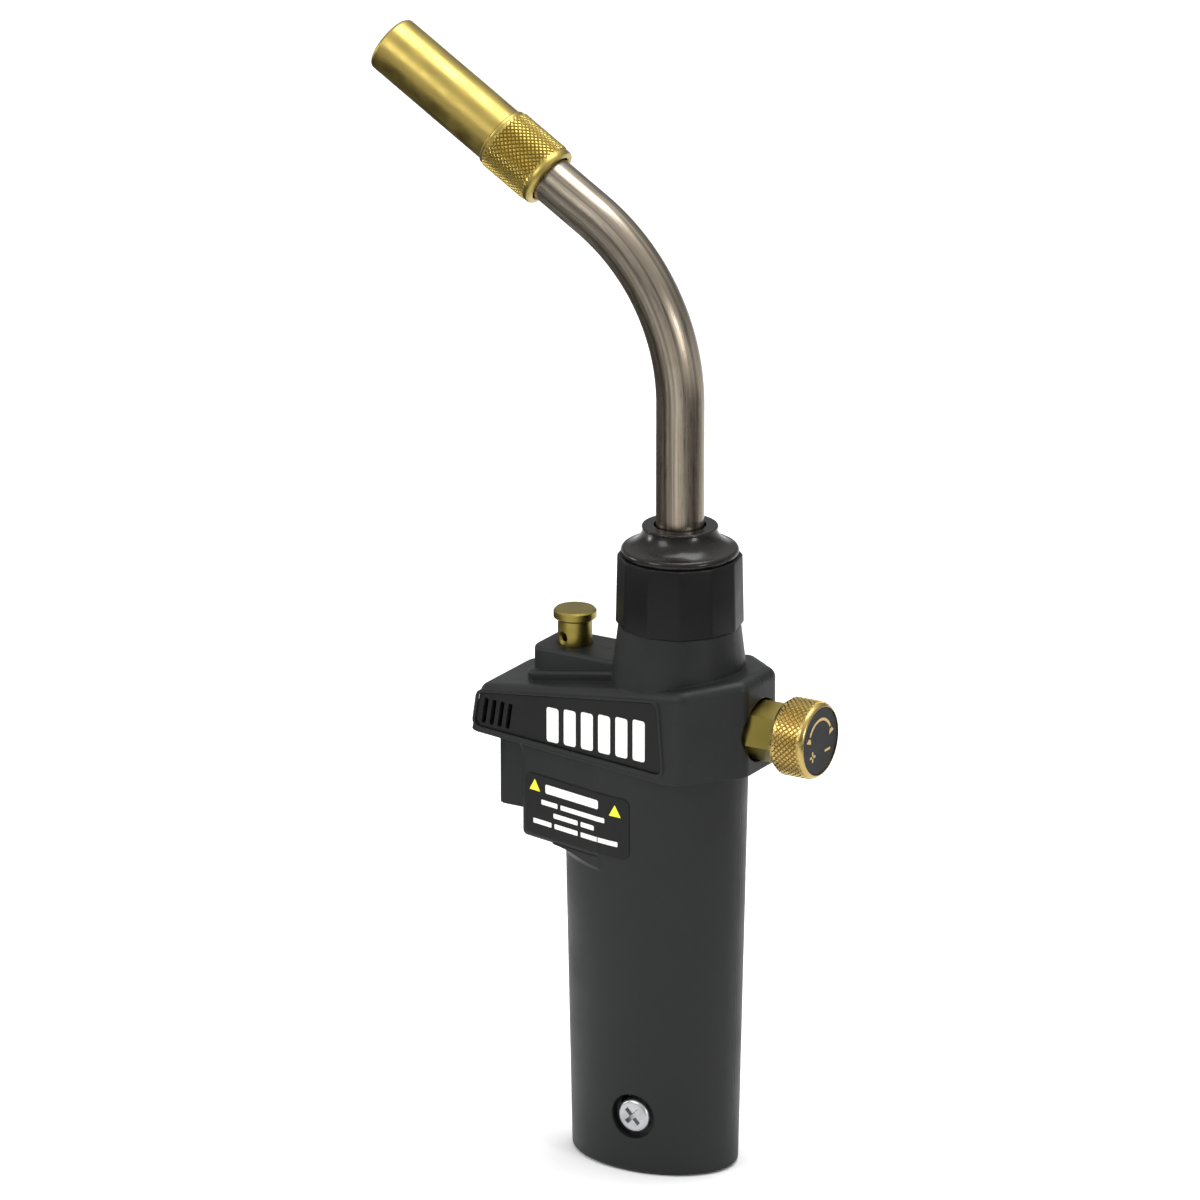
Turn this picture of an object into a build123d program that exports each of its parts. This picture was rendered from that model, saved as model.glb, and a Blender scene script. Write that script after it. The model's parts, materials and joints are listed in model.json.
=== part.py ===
from build123d import *
import math
import os

# A trigger-start gas torch head that screws onto a disposable fuel cylinder.
# Millimetres. Z is up along the handle, -X is the front (trigger and flame), +X the rear (flame
# knob) and -Y the left side. The two shells part on Y = 0. The origin is the centre of the
# cylinder thread's mouth, in the flat foot of the handle.
# The sizes that can be changed freely are the plain numbers below; everything that has to fit
# them is worked out from them through a named clearance or offset.

# ---------------------------------------------------------------- fits
running_fit = 0.08
loose_fit = 0.4
moving_gap = 0.5
joint_gap = 0.3
press_inset = 0.02
past_end = 1.0
wall = 2.4
split_halves = (("left_shell", -1), ("right_shell", 1))

# ---------------------------------------------------------------- cylinder inlet and regulator
thread_radius = 12.3
thread_length = 8.0
thread_depth = 13.0
thread_relief = 0.6
inlet_wall = 1.4
inlet_radius = thread_radius + inlet_wall
inlet_height = thread_depth + 6.0
probe_radius = 4.2
probe_reach = 4.0
gas_bore_radius = 1.5
seal_width = 2.4
seal_height = 2.2
pin_radius = 0.8
pin_reach = 0.8
filter_radius = 3.4
filter_height = 2.0
regulator_radius = inlet_radius - 0.3
regulator_height = 15.0
regulator_floor = 5.0
regulator_wall = 2.0
diaphragm_thickness = 0.8
regulator_cap_height = 12.0
regulator_cap_chamfer = 1.5
regulator_spring_radius = 5.0
regulator_spring_turns = 4
outlet_radius = 3.4
outlet_reach = 3.0

# ---------------------------------------------------------------- handle
handle_x = -3.0
handle_height = 118.0
handle_foot_b = inlet_radius + wall + 1.1
handle_foot_a = handle_foot_b + 6.6
handle_top_b = handle_foot_b + 0.7
handle_top_a = handle_foot_a + 2.8
handle_foot_round = 1.2

# ---------------------------------------------------------------- trigger's size, which the head follows
trigger_travel = 6.0
trigger_front_x = -47.3
trigger_rear_x = -29.0
trigger_half = 8.8
trigger_bottom_z = handle_height - 24.1
trigger_top_z = handle_height - 6.1
trigger_round = 3.0

# ---------------------------------------------------------------- trigger housing
guard_front_x = -37.6
guard_front_half = trigger_half + 2.8
guard_bottom_z = handle_height - 30.8
guard_chin_round = 1.6
guard_brow_round = 5.0
guard_eave = 1.5
guard_brow_drop = 0.7
guard_corner_round = 1.2
guard_foot_round = 4.5
guard_foot_sink = 0.12

# ---------------------------------------------------------------- head
head_front_x = -53.2
head_front_lean = 3.4
head_front_z = handle_height - 3.0
head_front_height = 13.0
head_front_half = guard_front_half + 2.3
head_side_half = handle_top_b + 2.3
head_side_end_x = 16.0
head_rear_x = 29.2
head_rear_half = 7.8
head_rear_z = handle_height - 3.6
head_belly_x = 10.0
head_belly_z = handle_height - 5.4
head_top_slope = 0.164
head_corner_round = 4.0
head_cheek_round = 5.0
head_tail_round = 3.2
head_crown_round = 2.8

# ---------------------------------------------------------------- burner tube, which the neck follows
tube_x = 4.2
tube_radius = 6.35
tube_wall = 0.8

# ---------------------------------------------------------------- neck
neck_foot_z = handle_height + 13.0
neck_top_z = handle_height + 33.0
neck_top_radius = tube_radius + 9.85
neck_foot_radius = neck_top_radius + 2.4
spigot_radius = neck_top_radius - 3.2
spigot_wall = 2.6
spigot_height = 12.0

# ---------------------------------------------------------------- neck nut and bell collar
nut_sides = 12
nut_corner_radius = neck_top_radius + 0.8
nut_height = 19.0
nut_chamfer = 0.9
nut_web = 4.5
nut_top_z = neck_top_z + nut_height
bell_foot_radius = nut_corner_radius - 1.4
bell_mouth_radius = tube_radius + 3.75
bell_height = 8.0
bell_shoulder = 2.2
bell_shoulder_step = 1.2
bell_foot_step = 0.6
bell_lip = 0.9
bell_hollow = 0.9
bell_bore_gap = 0.6

# ---------------------------------------------------------------- burner
tube_foot_z = neck_top_z - 12.5
bend_start_z = nut_top_z + 41.0
bend_radius = 55.7
bend_angle = 58.6
tube_run_out = 15.0
tube_insertion = 15.0
air_hole_radius = 1.9
air_hole_z = neck_top_z - 5.0
sleeve_wall = 0.9
sleeve_radius = tube_radius + sleeve_wall + 0.7
sleeve_length = 40.0
sleeve_insertion = 6.0
sleeve_edge = 0.5
ring_length = 18.0
ring_radius = sleeve_radius + 0.85
ring_chamfer = 0.6
sleeve_start = ring_length - sleeve_insertion
holder_thickness = 4.0
holder_hole_radius = 0.9
holder_hole_count = 8
holder_hole_ring = tube_radius - 0.95

# ---------------------------------------------------------------- ignition
wire_radius = 0.9
wire_offset_y = 3.35 - tube_radius
wire_exit = 3.6
wire_rise = 14.0
wire_clearance = 2.0
wire_valve_rise = 6.0
wire_bends = (2.2, 4.0, 4.0, 1.8, 1.8)
insulator_radius = 1.7
insulator_length = 20.0
insulator_tail = 6.0
electrode_radius = 0.6
electrode_reach = 7.0
piezo_radius = 5.0
piezo_length = 24.0
piezo_z = handle_height - 20.0
piezo_bore_slack = 4.0
plunger_radius = 2.8
plunger_length = 12.0
plunger_overlap = 3.0

# ---------------------------------------------------------------- valve block and flame control
valve_z = handle_height + 7.4
valve_radius = 7.6
valve_front_x = -9.0
valve_front_wall = 1.5
outlet_boss_radius = 5.4
outlet_boss_top_z = valve_z + 19.6
socket_depth = 9.5
socket_radius = 4.0
socket_overlap = 3.0
chamber_radius = 4.6
chamber_length = 10.0
bonnet_flats = 14.0
bonnet_turn = 16.0
bonnet_seat_x = head_rear_x - 2.0
knob_start_x = head_rear_x + 7.7
knob_gap = 0.4
bonnet_corner = bonnet_flats / math.sqrt(3)
bonnet_hole_radius = bonnet_corner + 0.52
bonnet_spigot_radius = 5.4
bonnet_spigot_length = 9.0
spindle_radius = 2.9
spindle_reach = 6.5
spindle_seat_depth = 5.0
needle_length = 4.4
oring_width = 1.3
oring_inset = 5.0
knob_radius = 10.45
knob_length = 10.3
knob_round = 0.8
disc_radius = knob_radius - 1.35
disc_thickness = 1.2
disc_inset = 0.25
jet_radius = 3.2
jet_height = 6.0
jet_tip_radius = 1.6
jet_tip_height = 2.0
jet_orifice = 0.4

# ---------------------------------------------------------------- gas pipe
pipe_radius = 2.0
pipe_bore = 1.2
pipe_front_x = -regulator_radius - 6.1
pipe_rise_z = handle_height - 60.0
pipe_cross_z = handle_height - 36.0
pipe_rear_x = 14.0
pipe_bends = (3.5, 10.0, 10.0)

# ---------------------------------------------------------------- trigger's linkage
tooth_height = 1.5
tooth_thickness = 1.5
nose_radius = 2.0
nose_z = handle_height - 11.4
nose_half = 3.0
nose_gap = 0.6
lever_pivot_x = -18.0
lever_pivot_z = handle_height + 15.5
lever_half_depth = 2.5
lever_half_width = 2.4
lever_foot_z = handle_height - 13.6
lever_eye_radius = 3.3
lever_pin_radius = 1.5
stem_radius = 1.0
stem_head_radius = 3.0
stem_head_length = 2.0
stem_gap = 0.3
stem_travel = trigger_travel / 3
valve_spring_turns = 3

# ---------------------------------------------------------------- lock button and its boss
button_x = -28.0
button_travel = 3.0
button_stem_radius = 4.6
button_stem_gap = 0.15
button_cap_radius = button_stem_radius + 1.15
button_cap_height = 2.7
button_cap_chamfer = 0.5
button_rod_radius = 1.75
button_rod_gap = 0.25
button_cross_hole = 1.1
button_cross_sink = 2.4
button_sink_height = 2.0
button_sink_inset = 0.35
button_cross_turn = 15.0
button_spring_radius = button_stem_radius - 1.4
button_spring_turns = 5
boss_front_x = button_x - 9.0
boss_half = button_cap_radius + 3.0
boss_foot_z = handle_height + 4.0
boss_top_z = handle_height + 21.8
boss_round = 4.0
boss_edge = 1.2
boss_step = 1.3
boss_step_height = 2.9
boss_step_edge = 1.0
button_top_z = boss_top_z + 9.5
button_stem_foot_z = boss_top_z - 5.8
button_cross_z = boss_top_z + 2.1
button_guide_depth = 6.0
web_z = handle_height + 1.2
web_thickness = 2.4
web_half = 6.0

# ---------------------------------------------------------------- fasteners
handle_screw_z = inlet_height - 3.0
handle_screw_seat = inlet_radius + 1.2
handle_screw_head = 4.7
handle_screw_head_height = 2.1
handle_screw_head_round = 1.2
handle_screw_radius = 2.0
handle_screw_length = 5.5
handle_screw_recess = handle_screw_head + 1.55
cross_slot_width = 1.2
cross_slot_length = 5.4
cross_slot_depth = 1.3
shell_slot_share = 0.6
shell_screw_places = (
    (-38.5, handle_height + 3.3),
    (-12.0, handle_height - 42.0),
    (12.0, handle_height - 52.0),
)
shell_screw_radius = 1.45
shell_screw_head = 2.9
shell_screw_head_height = 2.0
shell_screw_length = 16.0
shell_screw_depth = 4.0
shell_post_radius = 3.9
screw_tip_gap = 0.5
spring_wire = 0.45
regulator_wire = 0.72

# ---------------------------------------------------------------- side panels, vents and labels
panel_front_x = -49.2
panel_rear_x = 10.3
panel_front_low_z = handle_height - 1.4
panel_front_high_z = handle_height + 8.2
panel_rear_low_z = handle_height - 3.0
panel_rear_high_z = handle_height + 16.9
panel_lean = 1.6
panel_round = 1.8
panel_pocket = 0.8
panel_thickness = 0.6
panel_gap = 0.12
panel_outline_width = 0.8
panel_outline_height = 0.3
vent_count = 4
vent_pitch = 2.63
vent_width = 1.35
vent_low_z = handle_height - 0.4
vent_high_z = handle_height + 6.9
vent_first_x = -46.8
vent_lean = 1.2
vent_round = 0.54
label_front_x = guard_front_x + 1.4
label_rear_x = -0.6
label_low_z = guard_bottom_z + 1.4
label_height = 17.1
label_round = 2.2
label_thickness = 0.15

# ---------------------------------------------------------------- worked-out places
side_slope = (head_side_half - head_front_half) / (head_side_end_x - head_front_x)
lever_face_x = lever_pivot_x - lever_half_depth
nose_x = lever_face_x - nose_gap - nose_radius
rod_foot_z = trigger_top_z + button_travel + joint_gap
tooth_x = button_x - button_rod_radius - tooth_thickness / 2 - moving_gap
cap_z = inlet_height + regulator_height + diaphragm_thickness
pipe_outlet_z = inlet_height + regulator_height / 2 + 2.0
gland_x = bonnet_seat_x - bonnet_spigot_length + oring_inset
insulator_start = tube_insertion - insulator_tail


def head_top(x):
    """Height of the head's sloping top on the mid-plane."""
    return head_front_z + head_front_height + head_top_slope * (x - head_front_x - head_front_lean)


def side_prism(points, half_width, rounds=0.0):
    """A solid with this outline in X and Z, equally wide on both sides of the mid-plane."""
    outline = make_face(Polyline(*points, close=True))
    if rounds:
        outline = fillet(outline.vertices(), rounds)
    return extrude(Plane.XZ * outline, half_width, both=True)


def rod(radius, start, end):
    """A round bar between two points."""
    first = Vector(*start)
    along = Vector(*end) - first
    return extrude(Plane(origin=first, z_dir=along) * Circle(radius), along.length)


def ring(outer, inner, start, end):
    """A round tube between two points."""
    return rod(outer, start, end) - rod(inner, start, end)


def coil(radius, wire, start_z, height, turns):
    """A helical compression spring about Z."""
    path = Helix(pitch=height / turns, height=height, radius=radius)
    section = Plane(origin=path @ 0, z_dir=path % 0) * Circle(wire)
    return Pos(0, 0, start_z) * sweep(section, path=path, is_frenet=True)


def nozzle_point(distance, side=0.0):
    """A point on the nozzle's axis, counted forwards from the knurled ring's rear face."""
    turn = math.radians(bend_angle)
    along = distance + tube_run_out
    x = tube_x - bend_radius * (1 - math.cos(turn)) - along * math.sin(turn)
    z = bend_start_z + bend_radius * math.sin(turn) + along * math.cos(turn)
    return (x, side, z)


# ================================================================ shells


def handle_solid(inset, foot_z):
    """The oval handle, widening evenly upwards."""
    share = foot_z / handle_height
    foot_a = handle_foot_a + share * (handle_top_a - handle_foot_a) - inset
    foot_b = handle_foot_b + share * (handle_top_b - handle_foot_b) - inset
    foot = Pos(handle_x, 0, foot_z) * Ellipse(foot_a, foot_b)
    top = Pos(handle_x, 0, handle_height) * Ellipse(handle_top_a - inset, handle_top_b - inset)
    return loft([foot, top])


def head_side_outline():
    """The head seen from the side, with sharp corners."""
    top_front_x = head_front_x + head_front_lean
    points = (
        (head_front_x, head_front_z),
        (top_front_x, head_top(top_front_x)),
        (head_rear_x, head_top(head_rear_x)),
        (head_rear_x, head_rear_z),
        (head_belly_x, head_belly_z),
    )
    return make_face(Polyline(*points, close=True))


def head_plan_outline():
    """The head seen from above: sides that spread rearwards, and a tail of three flats."""
    right = (
        (head_front_x, head_front_half),
        (head_side_end_x, head_side_half),
        (head_rear_x, head_rear_half),
    )
    left = [(x, -y) for x, y in reversed(right)]
    return make_face(Polyline(*right, *left, close=True))


def head_solid(inset):
    """The head's block, where its side and plan outlines cross, rounded where it is the outside."""
    side = head_side_outline()
    plan = head_plan_outline()
    if inset:
        side = offset(side, -inset, kind=Kind.INTERSECTION)
        plan = offset(plan, -inset, kind=Kind.INTERSECTION)
    block = extrude(Plane.XZ * side, head_side_half * 2, both=True)
    block = block & extrude(plan, handle_height * 2)
    if inset:
        return block
    upright = block.edges().filter_by(lambda e: abs(e.tangent_at(0.5).Z) > 0.8).sort_by(Axis.X)
    pairs = (upright[:2], upright[2:4], upright[4:])
    for pair, radius in zip(pairs, (head_corner_round, head_cheek_round, head_tail_round)):
        same = [block.edges().sort_by_distance(edge.center())[0] for edge in pair]
        block = fillet(same, radius)
    return fillet(block.faces().sort_by(Axis.Z)[-1].edges(), head_crown_round)


def guard_tangent():
    """Where a flat flank from the trigger housing's front corner runs smoothly into the handle."""
    across = (guard_front_x - handle_x) / handle_top_a
    out = guard_front_half / handle_top_b
    angle = math.atan2(out, across) - math.acos(1 / math.hypot(across, out))
    return handle_x + handle_top_a * math.cos(angle), handle_top_b * math.sin(angle) - press_inset


def guard_side_outline(inset):
    """The trigger housing seen from the side: chin, front and brow."""
    front = guard_front_x + inset
    brow_z = head_front_z - guard_brow_drop
    eave = front - guard_brow_round - guard_eave
    roof_z = handle_height + joint_gap
    chin_z = guard_bottom_z + inset
    points = (
        (front, chin_z),
        (front, brow_z),
        (eave, brow_z),
        (eave, roof_z),
        (handle_x, roof_z),
        (handle_x, chin_z),
    )
    outline = make_face(Polyline(*points, close=True))
    if inset:
        return outline
    brow = outline.vertices().sort_by_distance((front, brow_z, 0))[0]
    outline = fillet(brow, guard_brow_round)
    chin = outline.vertices().sort_by_distance((front, chin_z, 0))[0]
    return fillet(chin, guard_chin_round)


def guard_plan(inset):
    """The trigger housing seen from above."""
    side_x, side_half = guard_tangent()
    slope = (side_half - guard_front_half) / (side_x - guard_front_x)
    reach = guard_brow_round + guard_eave * 2
    right = (
        (guard_front_x + inset - reach, guard_front_half - inset - reach * slope),
        (side_x, side_half - inset),
        (handle_x, side_half - inset),
    )
    left = [(x, -y) for x, y in reversed(right)]
    return extrude(make_face(Polyline(*right, *left, close=True)), handle_height * 2)


def guard_solid(inset):
    """The trigger housing, which spreads rearwards into the handle."""
    front = guard_front_x + inset
    block = extrude(Plane.XZ * guard_side_outline(inset), handle_top_b * 2, both=True) & guard_plan(inset)
    if inset:
        far = handle_height * 2
        return block & side_prism(((front, 0), (front, far), (far, far), (far, 0)), handle_top_b * 2)
    upright = block.edges().filter_by(
        lambda e: abs(e.center().X - front) < loose_fit and abs(e.center().Y) > stem_gap and e.length > 5
    )
    return fillet(upright.filter_by(Axis.Z), guard_corner_round)


def guard_foot():
    """The hollow sweep under the trigger housing, all round the handle's front."""
    reach = guard_foot_round
    low_z = guard_bottom_z - reach
    share = low_z / handle_height
    half_length = handle_foot_a + share * (handle_top_a - handle_foot_a) - guard_foot_sink
    half_width = handle_foot_b + share * (handle_top_b - handle_foot_b) - guard_foot_sink
    slab = Pos(handle_x, 0, low_z) * Ellipse(half_length + reach, half_width + reach)
    slab = extrude(slab, reach + joint_gap) & guard_plan(0)
    path = Pos(handle_x, 0, low_z) * Edge.make_ellipse(half_length + reach, half_width + reach)
    section = Plane(origin=path @ 0, z_dir=path % 0) * Circle(reach)
    return slab - sweep(section, path=path)


def boss_block(grow, top_z):
    """The block under the lock button, running back into the neck."""
    width = 2 * (boss_half + grow)
    length = tube_x - boss_front_x + grow
    middle = (boss_front_x - grow + tube_x) / 2
    plan = Pos(middle, 0, boss_foot_z) * RectangleRounded(length, width, boss_round)
    return extrude(plan, top_z - boss_foot_z)


def boss_base():
    """The wider step round the boss's foot, level with the head's slope."""
    front = boss_front_x - boss_round
    top = (
        (front, head_top(front) + boss_step_height),
        (tube_x, head_top(tube_x) + boss_step_height),
        (tube_x, handle_height),
        (front, handle_height),
    )
    step = boss_block(boss_step, nut_top_z) & side_prism(top, boss_half * 2)
    return fillet(step.faces().sort_by(Axis.Z)[-1].edges(), boss_step_edge)


def neck_solid(inset):
    """The cone that carries the burner tube's nut, closed above where it is the hollow."""
    height = neck_top_z - neck_foot_z - inset
    cone = Cone(neck_foot_radius - inset, neck_top_radius - inset, height)
    return Pos(tube_x, 0, neck_foot_z + height / 2) * cone


def outer_solid():
    """The whole moulding's outside."""
    foot = handle_solid(0, 0)
    foot = fillet(foot.edges().sort_by(Axis.Z)[0], handle_foot_round)
    boss = boss_block(0, boss_top_z)
    boss = fillet(boss.faces().sort_by(Axis.Z)[-1].edges(), boss_edge)
    spigot = Pos(tube_x, 0, neck_top_z + spigot_height / 2) * Cylinder(spigot_radius, spigot_height)
    solid = foot + head_solid(0) + guard_solid(0) + guard_foot() + boss_base() + boss + neck_solid(0)
    return solid + spigot


def inner_solid():
    """The hollow inside the moulding."""
    solid = handle_solid(wall, wall) + head_solid(wall) + guard_solid(wall) + neck_solid(wall)
    boss = boss_block(-wall, boss_top_z - wall)
    bore_radius = spigot_radius - spigot_wall
    bore_foot = (tube_x, 0, neck_top_z - wall * 2)
    bore = rod(bore_radius, bore_foot, (tube_x, 0, neck_top_z + spigot_height + past_end))
    return solid + boss + bore


def panel_plane(side):
    """A plane on the head's flat flank, with X along the flank and Y up."""
    flank = Vector(1, side * side_slope, 0).normalized()
    origin = (head_front_x, side * head_front_half, 0)
    outward = Vector(-side_slope, side, 0).normalized()
    return Plane(origin=origin, x_dir=flank, z_dir=outward)


def on_flank(plane, outline):
    """Puts an outline given in X and Z onto a flank plane, whichever way its Y points."""
    up = 1 if plane.y_dir.Z > 0 else -1
    stretch = math.hypot(1, side_slope)
    points = [((x - head_front_x) * stretch, up * z) for x, z in outline]
    return make_face(Polyline(*points, close=True))


def panel_outline_points():
    """Corners of the side panel, in X and Z."""
    return (
        (panel_front_x - panel_lean, panel_front_low_z),
        (panel_front_x, panel_front_high_z),
        (panel_rear_x - panel_lean, panel_rear_high_z),
        (panel_rear_x, panel_rear_low_z),
    )


def panel_slab(side, grow, low, high):
    """A slab of the panel's outline, from low to high along the flank's outward normal."""
    plane = panel_plane(side)
    face = on_flank(plane, panel_outline_points())
    face = fillet(face.vertices(), panel_round)
    if grow:
        face = offset(face, grow)
    return Pos(*(plane.z_dir * low)) * extrude(plane * face, high - low)


def vent_cutters():
    """Four leaning slots through both flanks, near the head's front."""
    cutters = []
    for step in range(vent_count):
        x = vent_first_x + step * vent_pitch
        half = vent_width / 2
        points = (
            (x - vent_lean - half, vent_low_z),
            (x - half, vent_high_z),
            (x + half, vent_high_z),
            (x - vent_lean + half, vent_low_z),
        )
        cutters.append(side_prism(points, head_side_half * 2, vent_round))
    return cutters


def left_sticker():
    """The sticker on the trigger housing's left flank, bent back over the handle's curve."""
    corners = (
        (label_front_x, label_low_z),
        (label_front_x, label_low_z + label_height),
        (label_rear_x, label_low_z + label_height),
        (label_rear_x, label_low_z),
    )
    face = make_face(Polyline(*corners, close=True))
    face = fillet(face.vertices(), label_round)
    skin = handle_solid(-label_thickness, 0) + guard_solid(-label_thickness)
    skin = skin & extrude(Plane.XZ * face, handle_top_b * 2)
    return biggest(skin - handle_solid(0, 0) - guard_solid(0))


def shell_fittings():
    """Ribs, screw posts and the button's guide, before the shells are parted."""
    fittings = side_prism(
        (
            (button_x - web_half, web_z),
            (button_x - web_half, web_z + web_thickness),
            (button_x + web_half, web_z + web_thickness),
            (button_x + web_half, web_z),
        ),
        head_side_half,
    )
    for x, z in shell_screw_places:
        fittings += rod(shell_post_radius, (x, -head_side_half, z), (x, head_side_half, z))
    pivot = (lever_pivot_x, lever_pivot_z)
    gap = lever_half_width + moving_gap
    for side in (-1, 1):
        inner = (pivot[0], side * gap, pivot[1])
        fittings += rod(lever_pin_radius * 2, inner, (pivot[0], side * boss_half, pivot[1]))
    return fittings


def shell_holes():
    """Everything that is bored or cut through the moulding."""
    holes = [rod(inlet_radius + loose_fit, (0, 0, -past_end), (0, 0, wall + past_end))]
    guide_z = boss_top_z - button_guide_depth
    stem_hole = button_stem_radius + button_stem_gap
    holes.append(rod(stem_hole, (button_x, 0, guide_z), (button_x, 0, button_top_z)))
    web_top = web_z + web_thickness + past_end
    rod_hole = button_rod_radius + button_rod_gap
    holes.append(rod(rod_hole, (button_x, 0, web_z - past_end), (button_x, 0, web_top)))
    inside = (head_rear_x - wall * 2, 0, valve_z)
    holes.append(rod(bonnet_hole_radius, inside, (knob_start_x, 0, valve_z)))
    pin = lever_pin_radius + running_fit
    end = boss_half - past_end
    holes.append(rod(pin, (lever_pivot_x, -end, lever_pivot_z), (lever_pivot_x, end, lever_pivot_z)))
    for side in (-1, 1):
        seat = (0, side * handle_screw_seat, handle_screw_z)
        outside = (0, side * handle_top_b * 2, handle_screw_z)
        holes.append(rod(handle_screw_recess, seat, outside))
        inlet_side = (0, side * inlet_radius / 2, handle_screw_z)
        holes.append(rod(handle_screw_radius + joint_gap, inlet_side, outside))
    for x, z in shell_screw_places:
        depth = shell_half(x, z) - shell_screw_depth
        holes.append(rod(shell_screw_head + joint_gap, (x, depth, z), (x, head_side_half * 2, z)))
        holes.append(rod(shell_screw_radius, (x, depth - shell_screw_length, z), (x, depth, z)))
    return holes


def shell_half(x, z):
    """Half the moulding's width at a screw post."""
    if z > head_belly_z:
        return head_front_half + side_slope * (x - head_front_x)
    share = z / handle_height
    a = handle_foot_a + share * (handle_top_a - handle_foot_a)
    b = handle_foot_b + share * (handle_top_b - handle_foot_b)
    return b * math.sqrt(1 - ((x - handle_x) / a) ** 2)


def trigger_mouth():
    """The opening in the housing's front for the trigger."""
    low = trigger_bottom_z - moving_gap
    high = trigger_top_z + tooth_height + joint_gap
    rear = guard_front_x + wall + moving_gap
    points = ((trigger_front_x, low), (trigger_front_x, high), (rear, high), (rear, low))
    return side_prism(points, trigger_half + loose_fit)


def shells():
    """The left and right halves of the moulding."""
    outside = outer_solid()
    body = outside - inner_solid()
    body += shell_fittings() & outside
    for hole in shell_holes():
        body -= hole
    body -= trigger_mouth()
    for cutter in vent_cutters():
        body -= cutter
    for side in (-1, 1):
        outline = panel_slab(side, panel_outline_width, -joint_gap, panel_outline_height)
        outline -= panel_slab(side, 0, -panel_pocket, past_end)
        body += outline
        body -= panel_slab(side, 0, -panel_pocket, past_end)
    halves = {}
    span = nut_top_z * 2
    for name, side in split_halves:
        room = Box(span, span, span, align=(Align.CENTER, Align.MIN, Align.CENTER))
        room = room if side > 0 else mirror(room, about=Plane.XZ)
        halves[name] = biggest(body & room)
    return halves


def biggest(shape):
    """The largest solid of a shape, without stray slivers."""
    return sorted(shape.solids(), key=lambda s: s.volume)[-1]


def side_panels():
    """The two panel plates with their vent slots."""
    plates = {}
    for name, side in (("left_panel", -1), ("right_panel", 1)):
        floor = press_inset - panel_pocket
        plate = panel_slab(side, -panel_gap, floor, floor + panel_thickness)
        for cutter in vent_cutters():
            plate -= cutter
        plates[name] = plate
    return plates


# ================================================================ neck nut, collar and burner


def neck_nut():
    """A twelve-sided nut that holds the shells' spigot and the tube's clamp."""
    outline = Pos(tube_x, 0, neck_top_z) * RegularPolygon(nut_corner_radius, nut_sides)
    wide = nut_corner_radius + nut_height
    corner_cut = Cone(wide, nut_corner_radius - nut_chamfer, nut_height + nut_chamfer)
    middle = (nut_height + nut_chamfer) / 2
    nut = extrude(outline, nut_height)
    nut = nut & (Pos(tube_x, 0, nut_top_z - middle) * corner_cut)
    nut = nut & (Pos(tube_x, 0, neck_top_z + middle) * Rot(180, 0, 0) * corner_cut)
    thread_top = nut_top_z - nut_web
    bore = spigot_radius + running_fit
    nut -= rod(bore, (tube_x, 0, neck_top_z - past_end), (tube_x, 0, thread_top))
    tube_hole = tube_radius + joint_gap
    return nut - rod(tube_hole, (tube_x, 0, thread_top - past_end), (tube_x, 0, nut_top_z + past_end))


def bell_collar():
    """A turned collar: a rounded shoulder, then a hollow flare up to a rounded lip."""
    foot = tube_radius + bell_bore_gap
    flare_foot = (bell_foot_radius - bell_shoulder_step, bell_shoulder)
    flare_top = (bell_mouth_radius - bell_lip / 2, bell_height - bell_lip)
    flare_end = (bell_mouth_radius - bell_lip / 2, bell_height)
    edge = (bell_foot_radius - bell_foot_step, 0)
    outline = Polyline((foot, bell_height), (foot, 0), edge)
    shoulder = ThreePointArc(edge, (bell_foot_radius, bell_shoulder / 2), flare_foot)
    flare = SagittaArc(flare_foot, flare_top, bell_hollow)
    round_lip = ThreePointArc(flare_top, (bell_mouth_radius, bell_height - bell_lip / 2), flare_end)
    close = Line(flare_end, (foot, bell_height))
    face = make_face(outline + shoulder + flare + round_lip + close)
    return Pos(tube_x, 0, nut_top_z) * revolve(Plane.XZ * face, Axis.Z)


def tube_clamp():
    """A split-free sleeve that centres the burner tube in the shells' spigot."""
    outer = spigot_radius - spigot_wall - running_fit
    foot = (tube_x, 0, neck_top_z)
    return ring(outer, tube_radius, foot, (tube_x, 0, neck_top_z + spigot_height))


def burner_path(foot_z, tail, side=0.0):
    """The centre line from the tube's foot round the bend to a distance past the ring's rear."""
    turn = math.radians(bend_angle)
    corner_z = bend_start_z + bend_radius * math.tan(turn / 2)
    corner = (tube_x, side, corner_z)
    return FilletPolyline((tube_x, side, foot_z), corner, nozzle_point(tail, side), radius=bend_radius)


def burner_tube():
    """The bent stainless tube, with air holes at its foot."""
    path = burner_path(tube_foot_z, tube_insertion)
    start = Plane(origin=(tube_x, 0, tube_foot_z), z_dir=(0, 0, 1))
    tube = sweep(start * Circle(tube_radius), path=path)
    tube -= sweep(start * Circle(tube_radius - tube_wall), path=path)
    reach = tube_radius * 2
    for x, y in ((reach, 0), (0, reach)):
        start_at = (tube_x - x, -y, air_hole_z)
        tube -= rod(air_hole_radius, start_at, (tube_x + x, y, air_hole_z))
    return tube


def knurled_ring():
    """The brass ring that screws the nozzle onto the tube."""
    body = rod(ring_radius, nozzle_point(0), nozzle_point(ring_length))
    rims = body.edges().filter_by(GeomType.CIRCLE)
    body = chamfer(rims, ring_chamfer)
    body -= rod(tube_radius + loose_fit, nozzle_point(-past_end), nozzle_point(ring_length))
    return body - rod(sleeve_radius, nozzle_point(sleeve_start), nozzle_point(ring_length + past_end))


def burner_sleeve():
    """The brass nozzle sleeve."""
    tip = ring_length + sleeve_length
    body = rod(sleeve_radius, nozzle_point(sleeve_start), nozzle_point(tip))
    rims = body.edges().filter_by(GeomType.CIRCLE)
    body = chamfer(rims, sleeve_edge)
    return body - rod(sleeve_radius - sleeve_wall, nozzle_point(0), nozzle_point(tip + past_end))


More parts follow.
